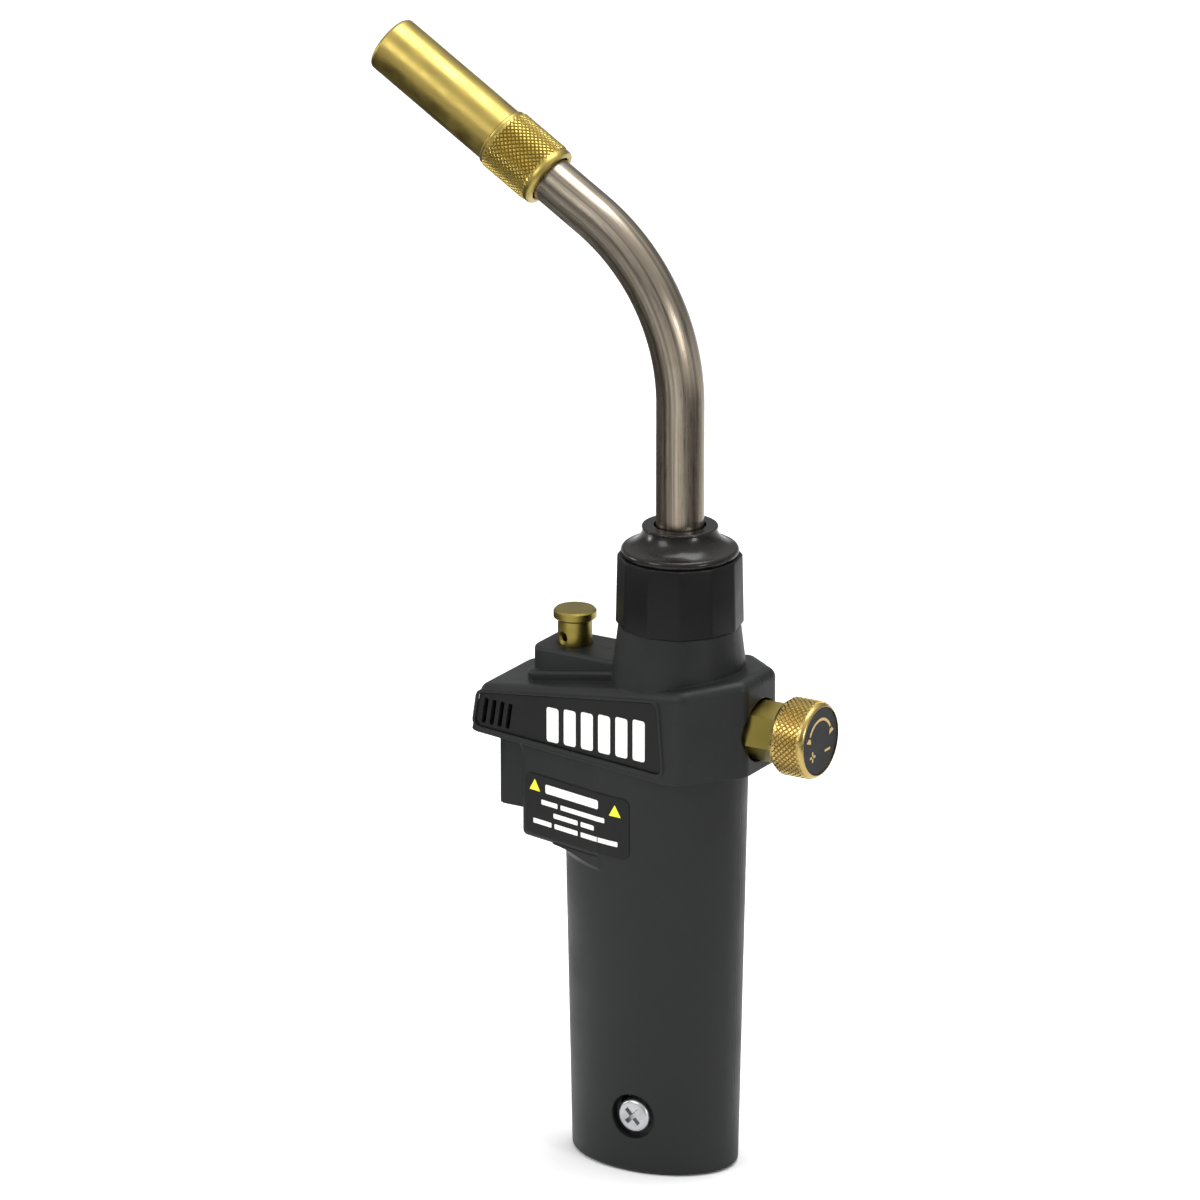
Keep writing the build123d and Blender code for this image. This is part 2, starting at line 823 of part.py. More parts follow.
def flame_holder():
    """The pierced disc on the tube's end that the flame stands on."""
    radius = sleeve_radius - sleeve_wall - running_fit
    disc = rod(radius, nozzle_point(tube_insertion), nozzle_point(tube_insertion + holder_thickness))
    across = Vector(*nozzle_point(1)) - Vector(*nozzle_point(0))
    up = across.cross(Vector(0, 1, 0))
    for step in range(holder_hole_count):
        angle = math.radians(360 / holder_hole_count * (step + 0.5))
        shift = Vector(0, 1, 0) * math.cos(angle) + up * math.sin(angle)
        shift = shift * holder_hole_ring
        start = Vector(*nozzle_point(tube_insertion - past_end)) + shift
        end = Vector(*nozzle_point(tube_insertion + holder_thickness + past_end)) + shift
        disc -= rod(holder_hole_radius, tuple(start), tuple(end))
    hole = insulator_radius + running_fit
    start = nozzle_point(tube_insertion - past_end, wire_offset_y)
    end = nozzle_point(tube_insertion + holder_thickness + past_end, wire_offset_y)
    return disc - rod(hole, start, end)


# ================================================================ ignition


def insulator():
    """The ceramic tube that carries the electrode through the flame holder."""
    start = nozzle_point(insulator_start, wire_offset_y)
    end = nozzle_point(insulator_start + insulator_length, wire_offset_y)
    return ring(insulator_radius, electrode_radius, start, end)


def electrode():
    """The spark electrode in the insulator."""
    start = nozzle_point(insulator_start, wire_offset_y)
    tip = insulator_start + insulator_length + electrode_reach
    return rod(electrode_radius, start, nozzle_point(tip, wire_offset_y))


def ignition_wire():
    """The high-voltage lead from the spark generator, through an air hole and up the tube."""
    turn = math.radians(bend_angle)
    corner_z = bend_start_z + bend_radius * math.tan(turn / 2)
    start_x = trigger_rear_x + plunger_length + piezo_length
    outside_y = -valve_radius - wire_radius - wire_clearance
    points = (
        (start_x, 0, piezo_z),
        (start_x + wire_exit, 0, piezo_z),
        (start_x + wire_exit, outside_y, piezo_z + wire_rise),
        (tube_x, outside_y, valve_z + wire_valve_rise),
        (tube_x, outside_y, air_hole_z),
        (tube_x, wire_offset_y, air_hole_z),
        (tube_x, wire_offset_y, corner_z),
        nozzle_point(insulator_start, wire_offset_y),
    )
    path = FilletPolyline(*points, radius=(*wire_bends, bend_radius))
    section = Plane(origin=points[0], z_dir=(1, 0, 0)) * Circle(wire_radius)
    return sweep(section, path=path, transition=Transition.ROUND)


def piezo_body():
    """The spark generator's case."""
    start_x = trigger_rear_x + plunger_length
    case = rod(piezo_radius, (start_x, 0, piezo_z), (start_x + piezo_length, 0, piezo_z))
    bore = plunger_radius + loose_fit
    bore_end = start_x + trigger_travel + piezo_bore_slack
    return case - rod(bore, (start_x - past_end, 0, piezo_z), (bore_end, 0, piezo_z))


def piezo_plunger():
    """The spark generator's plunger, which the trigger pushes."""
    length = plunger_length + plunger_overlap
    return rod(plunger_radius, (trigger_rear_x, 0, piezo_z), (trigger_rear_x + length, 0, piezo_z))


# ================================================================ inlet and regulator


def inlet_body():
    """The threaded socket for the cylinder, with the probe that opens its valve."""
    body = rod(inlet_radius, (0, 0, 0), (0, 0, inlet_height))
    body -= rod(thread_radius, (0, 0, -past_end), (0, 0, thread_depth))
    body -= rod(thread_radius + thread_relief, (0, 0, thread_length), (0, 0, thread_depth))
    body += rod(probe_radius, (0, 0, thread_depth - probe_reach), (0, 0, thread_depth + past_end))
    body -= rod(gas_bore_radius, (0, 0, 0), (0, 0, inlet_height + past_end))
    body -= rod(filter_radius, (0, 0, inlet_height - filter_height), (0, 0, inlet_height + past_end))
    for side in (-1, 1):
        inner = (0, side * (handle_screw_seat - handle_screw_length), handle_screw_z)
        outer = (0, side * (inlet_radius + past_end), handle_screw_z)
        body -= rod(handle_screw_radius, inner, outer)
    return body


def inlet_seal():
    """The rubber washer round the probe's root."""
    top = (0, 0, thread_depth)
    return ring(probe_radius + seal_width, probe_radius, (0, 0, thread_depth - seal_height), top)


def depressor_pin():
    """The pin that pushes the cylinder's valve open."""
    low = thread_depth - probe_reach - pin_reach
    return rod(pin_radius, (0, 0, low), (0, 0, inlet_height - filter_height))


def inlet_filter():
    """The sintered filter above the pin."""
    radius = filter_radius - press_inset
    return rod(radius, (0, 0, inlet_height - filter_height), (0, 0, inlet_height))


def regulator_body():
    """The regulator's chamber, with the outlet to the gas pipe."""
    top = inlet_height + regulator_height
    body = rod(regulator_radius, (0, 0, inlet_height), (0, 0, top))
    start = (regulator_wall - regulator_radius, 0, pipe_outlet_z)
    outlet_x = -regulator_radius - outlet_reach
    body += rod(outlet_radius, start, (outlet_x, 0, pipe_outlet_z))
    chamber = regulator_radius - regulator_wall
    body -= rod(chamber, (0, 0, inlet_height + regulator_floor), (0, 0, top + past_end))
    body -= rod(gas_bore_radius, (0, 0, inlet_height - past_end), (0, 0, top))
    seat_x = outlet_x + outlet_reach
    body -= rod(pipe_radius, (outlet_x - past_end, 0, pipe_outlet_z), (seat_x, 0, pipe_outlet_z))
    return body - rod(pipe_bore, (outlet_x, 0, pipe_outlet_z), (0, 0, pipe_outlet_z))


def regulator_diaphragm():
    """The rubber disc that the gas pressure lifts."""
    low = inlet_height + regulator_height
    return rod(regulator_radius, (0, 0, low), (0, 0, low + diaphragm_thickness))


def regulator_spring():
    """The spring that sets the outlet pressure."""
    room = regulator_wire + running_fit
    height = regulator_cap_height - regulator_wall - 2 * room
    return coil(regulator_spring_radius, regulator_wire, cap_z + room, height, regulator_spring_turns)


def regulator_cap():
    """The cover that clamps the diaphragm and holds the spring."""
    top = cap_z + regulator_cap_height
    body = rod(regulator_radius, (0, 0, cap_z), (0, 0, top))
    body = chamfer(body.edges().sort_by(Axis.Z)[-1], regulator_cap_chamfer)
    chamber = regulator_radius - regulator_wall
    return body - rod(chamber, (0, 0, cap_z - past_end), (0, 0, top - regulator_wall))


def gas_pipe():
    """The pipe from the regulator up the handle to the valve block."""
    top_z = valve_z - socket_depth
    points = (
        (-regulator_radius, 0, pipe_outlet_z),
        (pipe_front_x, 0, pipe_outlet_z),
        (pipe_front_x, 0, pipe_rise_z),
        (pipe_rear_x, 0, pipe_cross_z),
        (pipe_rear_x, 0, top_z),
    )
    path = FilletPolyline(*points, radius=pipe_bends)
    start = Plane(origin=points[0], z_dir=(-1, 0, 0))
    outside = sweep(start * Circle(pipe_radius), path=path)
    return outside - sweep(start * Circle(pipe_bore), path=path)


# ================================================================ valve block and flame control


def valve_body():
    """The brass block: gas in from below, shut-off at the front, flame control at the rear."""
    body = rod(valve_radius, (valve_front_x, 0, valve_z), (bonnet_seat_x, 0, valve_z))
    body += rod(outlet_boss_radius, (tube_x, 0, valve_z), (tube_x, 0, outlet_boss_top_z))
    socket_z = valve_z - socket_depth - socket_overlap
    body += rod(socket_radius, (pipe_rear_x, 0, socket_z), (pipe_rear_x, 0, valve_z))
    pipe_end = (pipe_rear_x, 0, socket_z + socket_overlap)
    body -= rod(pipe_radius, (pipe_rear_x, 0, socket_z - past_end), pipe_end)
    body -= rod(pipe_bore, (pipe_rear_x, 0, socket_z), (pipe_rear_x, 0, valve_z))
    thread_x = bonnet_seat_x - bonnet_spigot_length
    body -= rod(bonnet_spigot_radius, (thread_x, 0, valve_z), (bonnet_seat_x + past_end, 0, valve_z))
    seat = (thread_x - spindle_seat_depth, 0, valve_z)
    body -= rod(spindle_radius + moving_gap, seat, (thread_x + past_end, 0, valve_z))
    front = valve_front_x + chamber_length
    body -= rod(chamber_radius, (valve_front_x + valve_front_wall, 0, valve_z), (front, 0, valve_z))
    body -= rod(stem_radius + running_fit, (valve_front_x - past_end, 0, valve_z), (front, 0, valve_z))
    body -= rod(gas_bore_radius, (front - past_end, 0, valve_z), (thread_x, 0, valve_z))
    jet_z = outlet_boss_top_z - jet_height
    body -= rod(jet_radius, (tube_x, 0, jet_z), (tube_x, 0, jet_z + jet_height + past_end))
    return body - rod(gas_bore_radius, (tube_x, 0, valve_z), (tube_x, 0, jet_z + past_end))


def gas_jet():
    """The jet that blows gas into the tube past the air holes."""
    foot = outlet_boss_top_z - jet_height
    top = outlet_boss_top_z
    jet = rod(jet_radius, (tube_x, 0, foot), (tube_x, 0, top))
    jet += rod(jet_tip_radius, (tube_x, 0, top - past_end), (tube_x, 0, top + jet_tip_height))
    jet -= rod(gas_bore_radius, (tube_x, 0, foot - past_end), (tube_x, 0, top - past_end))
    return jet - rod(jet_orifice, (tube_x, 0, foot), (tube_x, 0, top + jet_tip_height + past_end))


def hex_bonnet():
    """The hexagonal gland that closes the valve block's rear."""
    end_x = knob_start_x - knob_gap
    plane = Plane(origin=(bonnet_seat_x, 0, valve_z), x_dir=(0, 1, 0), z_dir=(1, 0, 0))
    outline = RegularPolygon(bonnet_corner, 6, rotation=bonnet_turn)
    body = extrude(plane * outline, end_x - bonnet_seat_x)
    spigot_x = bonnet_seat_x - bonnet_spigot_length
    body += rod(bonnet_spigot_radius, (spigot_x, 0, valve_z), (bonnet_seat_x + past_end, 0, valve_z))
    bore = spindle_radius + running_fit
    body -= rod(bore, (spigot_x - past_end, 0, valve_z), (end_x + past_end, 0, valve_z))
    gland = spindle_radius + oring_width
    return body - rod(gland, (gland_x, 0, valve_z), (gland_x + oring_width + joint_gap, 0, valve_z))


def spindle_oring():
    """The seal round the spindle, in the gland."""
    start_x = gland_x + joint_gap / 2
    inner = spindle_radius + running_fit
    outer = spindle_radius + oring_width
    return ring(outer, inner, (start_x, 0, valve_z), (start_x + oring_width, 0, valve_z))


def needle_spindle():
    """The spindle with its needle, turned by the knob."""
    start_x = bonnet_seat_x - bonnet_spigot_length
    end_x = knob_start_x + spindle_reach
    shaft = rod(spindle_radius, (start_x, 0, valve_z), (end_x, 0, valve_z))
    needle = Cone(spindle_radius, gas_bore_radius / 2, needle_length)
    place = Plane(origin=(start_x - needle_length / 2, 0, valve_z), z_dir=(-1, 0, 0))
    return shaft + place * needle


def flame_knob():
    """The knurled brass knob."""
    end_x = knob_start_x + knob_length
    body = rod(knob_radius, (knob_start_x, 0, valve_z), (end_x, 0, valve_z))
    body = fillet(body.edges().filter_by(GeomType.CIRCLE), knob_round)
    pocket_x = end_x - disc_thickness
    body -= rod(disc_radius + running_fit, (pocket_x, 0, valve_z), (end_x + past_end, 0, valve_z))
    reach = (knob_start_x + spindle_reach, 0, valve_z)
    return body - rod(spindle_radius, (knob_start_x - past_end, 0, valve_z), reach)


def knob_disc():
    """The dark disc set in the knob's face."""
    end_x = knob_start_x + knob_length - disc_inset
    start_x = knob_start_x + knob_length - disc_thickness
    return rod(disc_radius, (start_x, 0, valve_z), (end_x, 0, valve_z))


# ================================================================ trigger, lever and shut-off


def trigger():
    """The trigger, its lever nose and the tooth that the lock button catches."""
    width = 2 * trigger_half
    depth = trigger_rear_x - trigger_front_x
    height = trigger_top_z - trigger_bottom_z
    middle = (trigger_front_x + trigger_rear_x) / 2
    body = Pos(middle, 0, (trigger_top_z + trigger_bottom_z) / 2) * Box(depth, width, height)
    front = body.edges().filter_by(Axis.Z).sort_by(Axis.X)[:2]
    body = fillet(front, trigger_round)
    arm_low = nose_z - nose_radius
    arm_high = nose_z + nose_radius
    root_x = trigger_rear_x - nose_radius
    arm = ((root_x, arm_low), (root_x, arm_high), (nose_x, arm_high), (nose_x, arm_low))
    body += side_prism(arm, nose_half)
    body += rod(nose_radius, (nose_x, -nose_half, nose_z), (nose_x, nose_half, nose_z))
    low = trigger_top_z - past_end
    high = trigger_top_z + tooth_height
    half = tooth_thickness / 2
    tooth = ((tooth_x - half, low), (tooth_x - half, high), (tooth_x + half, high), (tooth_x + half, low))
    return body + side_prism(tooth, nose_half)


def valve_lever():
    """The lever between the trigger's nose and the shut-off valve's stem."""
    left = lever_pivot_x - lever_half_depth
    right = lever_pivot_x + lever_half_depth
    arm = ((left, lever_foot_z), (left, lever_pivot_z), (right, lever_pivot_z), (right, lever_foot_z))
    body = side_prism(arm, lever_half_width)
    near = (lever_pivot_x, -lever_half_width, lever_pivot_z)
    far = (lever_pivot_x, lever_half_width, lever_pivot_z)
    body += rod(lever_eye_radius, near, far)
    return body - rod(lever_pin_radius + running_fit, near, far)


def lever_pin():
    """The lever's pivot pin, held in both shells."""
    end = boss_half - past_end - joint_gap / 2
    near = (lever_pivot_x, -end, lever_pivot_z)
    return rod(lever_pin_radius, near, (lever_pivot_x, end, lever_pivot_z))


def valve_stem():
    """The shut-off stem, with the head that seals inside the valve block."""
    start_x = lever_pivot_x + lever_half_depth + stem_gap
    head_x = valve_front_x + valve_front_wall + stem_gap
    stem = rod(stem_radius, (start_x, 0, valve_z), (head_x + stem_gap, 0, valve_z))
    return stem + rod(stem_head_radius, (head_x, 0, valve_z), (head_x + stem_head_length, 0, valve_z))


def valve_spring():
    """The spring that shuts the valve behind the stem's head."""
    start = valve_front_x + valve_front_wall + stem_gap + stem_head_length + stem_travel + loose_fit
    end = valve_front_x + chamber_length - spring_wire
    spring = coil(stem_head_radius, spring_wire, 0, end - start, valve_spring_turns)
    return Plane(origin=(start, 0, valve_z), z_dir=(1, 0, 0)) * spring


# ================================================================ lock button and fasteners


def lock_button():
    """The brass button: cap, stem with a countersunk cross-hole, and the locking rod."""
    cap_foot = button_top_z - button_cap_height
    cap = rod(button_cap_radius, (button_x, 0, cap_foot), (button_x, 0, button_top_z))
    cap = chamfer(cap.edges().filter_by(GeomType.CIRCLE), button_cap_chamfer)
    stem_foot = (button_x, 0, button_stem_foot_z)
    body = cap + rod(button_stem_radius, stem_foot, (button_x, 0, cap_foot + past_end))
    body += rod(button_rod_radius, (button_x, 0, rod_foot_z), (button_x, 0, button_stem_foot_z + past_end))
    turn = math.radians(button_cross_turn)
    out = Vector(-math.sin(turn), -math.cos(turn), 0)
    middle = Vector(button_x, 0, button_cross_z)
    reach = out * button_cap_radius
    body -= rod(button_cross_hole, tuple(middle - reach), tuple(middle + reach))
    sink = Cone(button_cross_hole / 2, button_cross_sink, button_sink_height)
    for way in (-1, 1):
        place = middle + out * way * (button_stem_radius - button_sink_inset)
        body -= Plane(origin=place, z_dir=out * way) * sink
    return body


def lock_button_spring():
    """The spring that lifts the button."""
    low = web_z + web_thickness + spring_wire + running_fit
    high = button_stem_foot_z - spring_wire - running_fit
    spring = coil(button_spring_radius, spring_wire, low, high - low, button_spring_turns)
    return Pos(button_x, 0, 0) * spring


def cross_slots(place, share=1.0):
    """A cross recess cut into a screw head from its outer face."""
    bar = Box(cross_slot_length * share, cross_slot_width * share, cross_slot_depth * 2)
    return place * (bar + Rot(0, 0, 90) * bar)


def handle_screws():
    """The two pan-head screws that hold the shells to the inlet body."""
    screws = []
    for side in (-1, 1):
        seat = side * handle_screw_seat
        outer = side * (handle_screw_seat + handle_screw_head_height)
        tip = side * (handle_screw_seat - handle_screw_length + screw_tip_gap)
        head = rod(handle_screw_head, (0, seat, handle_screw_z), (0, outer, handle_screw_z))
        rims = head.edges().filter_by(GeomType.CIRCLE).sort_by(Axis.Y)
        head = fillet(rims[-1 if side > 0 else 0], handle_screw_head_round)
        screw = head + rod(handle_screw_radius, (0, tip, handle_screw_z), (0, seat, handle_screw_z))
        place = Plane(origin=(0, outer, handle_screw_z), x_dir=(1, 0, 1), z_dir=(0, side, 0))
        screws.append(biggest(screw - cross_slots(place)))
    return Compound(children=screws)


def shell_screws():
    """The self-tapping screws that join the shells from the right."""
    screws = []
    for x, z in shell_screw_places:
        seat = shell_half(x, z) - shell_screw_depth
        outer = seat + shell_screw_head_height
        tip = seat - shell_screw_length + screw_tip_gap
        head = rod(shell_screw_head, (x, seat, z), (x, outer, z))
        screw = head + rod(shell_screw_radius, (x, tip, z), (x, seat, z))
        place = Plane(origin=(x, outer, z), x_dir=(1, 0, 1), z_dir=(0, 1, 0))
        screws.append(biggest(screw - cross_slots(place, shell_slot_share)))
    return Compound(children=screws)


def all_nodes():
    """Every piece by name."""
    nodes = shells()
    nodes.update(side_panels())
    nodes["left_label"] = left_sticker()
    nodes["neck_nut"] = neck_nut()
    nodes["bell_collar"] = bell_collar()
    nodes["tube_clamp"] = tube_clamp()
    nodes["burner_tube"] = burner_tube()
    nodes["knurled_ring"] = knurled_ring()
    nodes["burner_sleeve"] = burner_sleeve()
    nodes["flame_holder"] = flame_holder()
    nodes["ceramic_insulator"] = insulator()
    nodes["spark_electrode"] = electrode()
    nodes["ignition_wire"] = ignition_wire()
    nodes["piezo_body"] = piezo_body()
    nodes["piezo_plunger"] = piezo_plunger()
    nodes["inlet_body"] = inlet_body()
    nodes["inlet_seal"] = inlet_seal()
    nodes["depressor_pin"] = depressor_pin()
    nodes["inlet_filter"] = inlet_filter()
    nodes["regulator_body"] = regulator_body()
    nodes["regulator_diaphragm"] = regulator_diaphragm()
    nodes["regulator_spring"] = regulator_spring()
    nodes["regulator_cap"] = regulator_cap()
    nodes["gas_pipe"] = gas_pipe()
    nodes["valve_body"] = valve_body()
    nodes["gas_jet"] = gas_jet()
    nodes["hex_bonnet"] = hex_bonnet()
    nodes["spindle_oring"] = spindle_oring()
    nodes["needle_spindle"] = needle_spindle()
    nodes["flame_knob"] = flame_knob()
    nodes["knob_disc"] = knob_disc()
    nodes["trigger"] = trigger()
    nodes["valve_lever"] = valve_lever()
    nodes["lever_pin"] = lever_pin()
    nodes["valve_stem"] = valve_stem()
    nodes["valve_spring"] = valve_spring()
    nodes["lock_button"] = lock_button()
    nodes["lock_button_spring"] = lock_button_spring()
    nodes["handle_screws"] = handle_screws()
    nodes["shell_screws"] = shell_screws()
    return nodes


os.makedirs("parts", exist_ok=True)
for node_name, node_shape in all_nodes().items():
    export_step(node_shape, f"parts/{node_name}.step")
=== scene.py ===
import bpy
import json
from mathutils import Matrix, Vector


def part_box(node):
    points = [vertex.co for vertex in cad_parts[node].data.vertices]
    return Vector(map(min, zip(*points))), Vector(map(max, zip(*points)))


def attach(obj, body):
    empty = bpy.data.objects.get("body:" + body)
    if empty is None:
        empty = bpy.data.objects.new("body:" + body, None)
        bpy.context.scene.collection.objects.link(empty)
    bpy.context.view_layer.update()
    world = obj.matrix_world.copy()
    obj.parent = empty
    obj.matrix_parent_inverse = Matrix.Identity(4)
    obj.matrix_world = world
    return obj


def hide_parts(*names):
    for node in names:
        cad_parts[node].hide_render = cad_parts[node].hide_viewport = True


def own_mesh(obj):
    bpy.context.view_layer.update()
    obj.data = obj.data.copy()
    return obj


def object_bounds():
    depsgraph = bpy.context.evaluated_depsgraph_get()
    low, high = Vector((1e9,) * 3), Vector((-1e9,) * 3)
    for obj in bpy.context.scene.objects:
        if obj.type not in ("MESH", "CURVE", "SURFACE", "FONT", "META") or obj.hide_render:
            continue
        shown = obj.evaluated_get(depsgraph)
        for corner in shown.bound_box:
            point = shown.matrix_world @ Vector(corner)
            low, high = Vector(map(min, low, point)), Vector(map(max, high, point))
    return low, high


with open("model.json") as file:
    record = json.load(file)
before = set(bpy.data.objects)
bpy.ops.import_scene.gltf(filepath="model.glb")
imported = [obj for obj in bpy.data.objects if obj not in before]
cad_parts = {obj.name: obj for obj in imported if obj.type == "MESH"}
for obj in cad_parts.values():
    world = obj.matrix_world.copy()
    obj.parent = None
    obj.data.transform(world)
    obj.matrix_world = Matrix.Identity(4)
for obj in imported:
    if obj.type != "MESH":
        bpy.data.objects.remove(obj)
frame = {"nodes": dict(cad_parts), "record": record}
CAD_BOX = [list(corner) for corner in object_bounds()]

import json
import math

import bmesh
import bpy
from bpy.props import FloatProperty, PointerProperty, StringProperty
from mathutils import Matrix, Vector
from mathutils.bvhtree import BVHTree

bl_info = {
    "name": "Gas Torch Looks",
    "version": (1, 0, 0),
    "blender": (4, 5, 0),
    "location": "View3D > Sidebar > Torch",
    "description": "Detailed pieces and finishes for a trigger-start gas torch",
    "category": "Object",
}

MM = 0.001
ROUND_STEPS = 96
MERGE_DISTANCE = 0.001 * MM

RING_LENGTH = 18.0 * MM
RING_BORE = 6.75 * MM
SLEEVE_LENGTH = 46.0 * MM
SLEEVE_SEAT_DEPTH = 6.0 * MM
SLEEVE_WALL = 0.9 * MM
TUBE_BEND_RADIUS = 55.7 * MM
TUBE_RUN_OUT = 15.0 * MM
TUBE_IN_RING = 15.0 * MM
KNOB_BORE = 2.9 * MM
KNOB_BORE_DEPTH = 6.5 * MM
NOZZLE_TILT = 58.6
BUTTON_SPRING_TURNS = 5
VALVE_SPRING_TURNS = 3
COIL_STEPS = 24

DIAL_RADIUS = 5.9 * MM
DIAL_HALF_WIDTH = 0.38 * MM
DIAL_START = 20.0
DIAL_END = 160.0
DIAL_HEAD_RADIUS = 1.45 * MM
DIAL_HEAD_OVERHANG = 5.0
SIGN_X = 3.9 * MM
SIGN_Y = -3.4 * MM
SIGN_LENGTH = 2.9 * MM
SIGN_WIDTH = 0.65 * MM

PANEL_BARS = 6
PANEL_BAR_WIDTH = 3.9 * MM
PANEL_BAR_PITCH = 5.6 * MM
PANEL_FIRST_BAR = (-5.0 * MM, -3.1 * MM)
PANEL_BAR_RISE = 0.28 * MM
PANEL_BAR_HEIGHT = 9.6 * MM
PANEL_BAR_GROWTH = 0.35 * MM
BAR_SLICE = 1.2 * MM
TRIANGLE_RADIUS = 2.2 * MM

# Each row's drop from the sticker's top and its height, in millimetres, then its bars' ends as shares
# of the sticker's length.
STICKER_ROWS = (
    (3.4, 2.5, ((0.2, 0.72),)),
    (7.4, 1.35, ((0.16, 0.32), (0.35, 0.78))),
    (10.3, 1.35, ((0.28, 0.52), (0.55, 0.68))),
    (13.2, 1.35, ((0.08, 0.26), (0.29, 0.52), (0.55, 0.9))),
)

# Name, place and side in metres, and power in watts.
SOFTBOXES = (
    ("key_softbox", (-0.9, -1.9, 1.5), 0.9, 20.0),
    ("right_strip", (1.9, -0.5, 0.7), 0.45, 11.0),
    ("left_strip", (-1.9, -0.6, 0.6), 0.4, 7.0),
    ("top_softbox", (0.1, 0.3, 2.1), 1.2, 34.0),
)
FLAG_HALF = (0.5, 0.9)
FLOOR_HALF = 6.0
FLOOR_GAP = 0.2 * MM
CAMERA_AZIMUTH = 31.0
CAMERA_ELEVATION = 18.5
CAMERA_TARGET = (-20.3 * MM, 0.0, 152.8 * MM)
CAMERA_DISTANCE = 2.5
CAMERA_LENS = 283.5
CAMERA_SENSOR = 36.0


# ---------------------------------------------------------------- sizes and colours a user may change


class TorchSizes(bpy.types.PropertyGroup):
    """Sizes of the detail that the looks add."""

    knurl_pitch: FloatProperty(
        name="Knurl pitch", description="Distance between knurl grooves", default=1.55 * MM, unit="LENGTH"
    )
    knurl_depth: FloatProperty(
        name="Knurl depth", description="Height of the knurl's diamonds", default=0.36 * MM, unit="LENGTH"
    )
    ring_knurl_pitch: FloatProperty(
        name="Ring knurl pitch", description="Knurl pitch on the ring", default=1.4 * MM, unit="LENGTH"
    )
    spring_wire: FloatProperty(
        name="Spring wire", description="Thickness of the springs' wire", default=0.9 * MM, unit="LENGTH"
    )
    edge_round: FloatProperty(
        name="Edge round", description="Softness of the mouldings' edges", default=0.55 * MM, unit="LENGTH"
    )
    print_height: FloatProperty(
        name="Print height", description="Thickness of printed marks", default=0.04 * MM, unit="LENGTH"
    )
    seam_width: FloatProperty(
        name="Seam width", description="Width of the shells' parting line", default=0.22 * MM, unit="LENGTH"
    )


class TorchColours(bpy.types.PropertyGroup):
    """Colours of the finishes, as sRGB hex values."""

    shell: StringProperty(name="Shell", description="Moulded shells", default="#191A1A")
    film: StringProperty(name="Film", description="Panel and label film", default="#131413")
    nut: StringProperty(name="Nut", description="Neck nut", default="#0E0D0D")
    enamel: StringProperty(name="Enamel", description="Collar's enamel", default="#141110")
    steel: StringProperty(name="Steel", description="Burner tube", default="#A59C8E")
    brass: StringProperty(name="Brass", description="Ring and nozzle", default="#A59250")
    knob_brass: StringProperty(name="Knob brass", description="Flame knob", default="#B39C60")
    dull_brass: StringProperty(name="Dull brass", description="Button and gland", default="#908243")
    zinc: StringProperty(name="Zinc", description="Plated fasteners", default="#B9BBBD")
    white: StringProperty(name="White print", description="Printed marks", default="#F2F2EE")
    yellow: StringProperty(name="Yellow print", description="Sticker's triangles", default="#E9EA2A")
    floor: StringProperty(name="Floor", description="Studio floor", default="#F4F4F4")


def sizes():
    """The sizes group of the current scene."""
    return bpy.context.scene.torch_sizes


def colours():
    """The colours group of the current scene."""
    return bpy.context.scene.torch_colours


# ---------------------------------------------------------------- materials


def linear(hex_colour):
    """An sRGB hex colour as linear RGBA."""
    channels = [int(hex_colour[i : i + 2], 16) / 255 for i in (1, 3, 5)]
    return [c / 12.92 if c <= 0.04045 else ((c + 0.055) / 1.055) ** 2.4 for c in channels] + [1.0]


def add_node(tree, kind, settings=None, inputs=None):
    """Adds a node, sets its properties, and sets or links its sockets."""
    node = tree.nodes.new(kind)
    for name, value in (settings or {}).items():
        setattr(node, name, value)
    for name, value in (inputs or {}).items():
        if isinstance(value, bpy.types.NodeSocket):
            tree.links.new(value, node.inputs[name])
        else:
            node.inputs[name].default_value = value
    return node


def start_material(name, shader_inputs):
    """A material with its shader, and the object coordinates that its patterns read."""
    material = bpy.data.materials.new(name)
    material.use_nodes = True
    tree = material.node_tree
    tree.nodes.clear()
    shader = add_node(tree, "ShaderNodeBsdfPrincipled", inputs=shader_inputs)
    add_node(tree, "ShaderNodeOutputMaterial", inputs={"Surface": shader.outputs["BSDF"]})
    coordinates = add_node(tree, "ShaderNodeTexCoord")
    return material, tree, shader, coordinates.outputs["Object"]


def grain(tree, vector, size, detail=2.0, roughness=0.5):
    """Even noise whose features are about this many metres across."""
    inputs = {"Vector": vector, "Scale": 1 / size, "Detail": detail, "Roughness": roughness}
    return add_node(tree, "ShaderNodeTexNoise", inputs=inputs).outputs["Fac"]


def between(tree, factor, low, high, start=0.3, end=0.7):
    """A number that goes from low to high as the factor goes from start to end."""
    inputs = {"Value": factor, "From Min": start, "From Max": end, "To Min": low, "To Max": high}
    return add_node(tree, "ShaderNodeMapRange", inputs=inputs).outputs["Result"]


def blend_colours(tree, factor, first, second):
    """A colour between two."""
    mix = add_node(tree, "ShaderNodeMix", {"data_type": "RGBA"}, {"Factor": factor})
    for name, value in (("A", first), ("B", second)):
        socket = [s for s in mix.inputs if s.name == name and s.type == "RGBA"][0]
        if isinstance(value, bpy.types.NodeSocket):
            tree.links.new(value, socket)
        else:
            socket.default_value = value
    return [s for s in mix.outputs if s.type == "RGBA"][0]


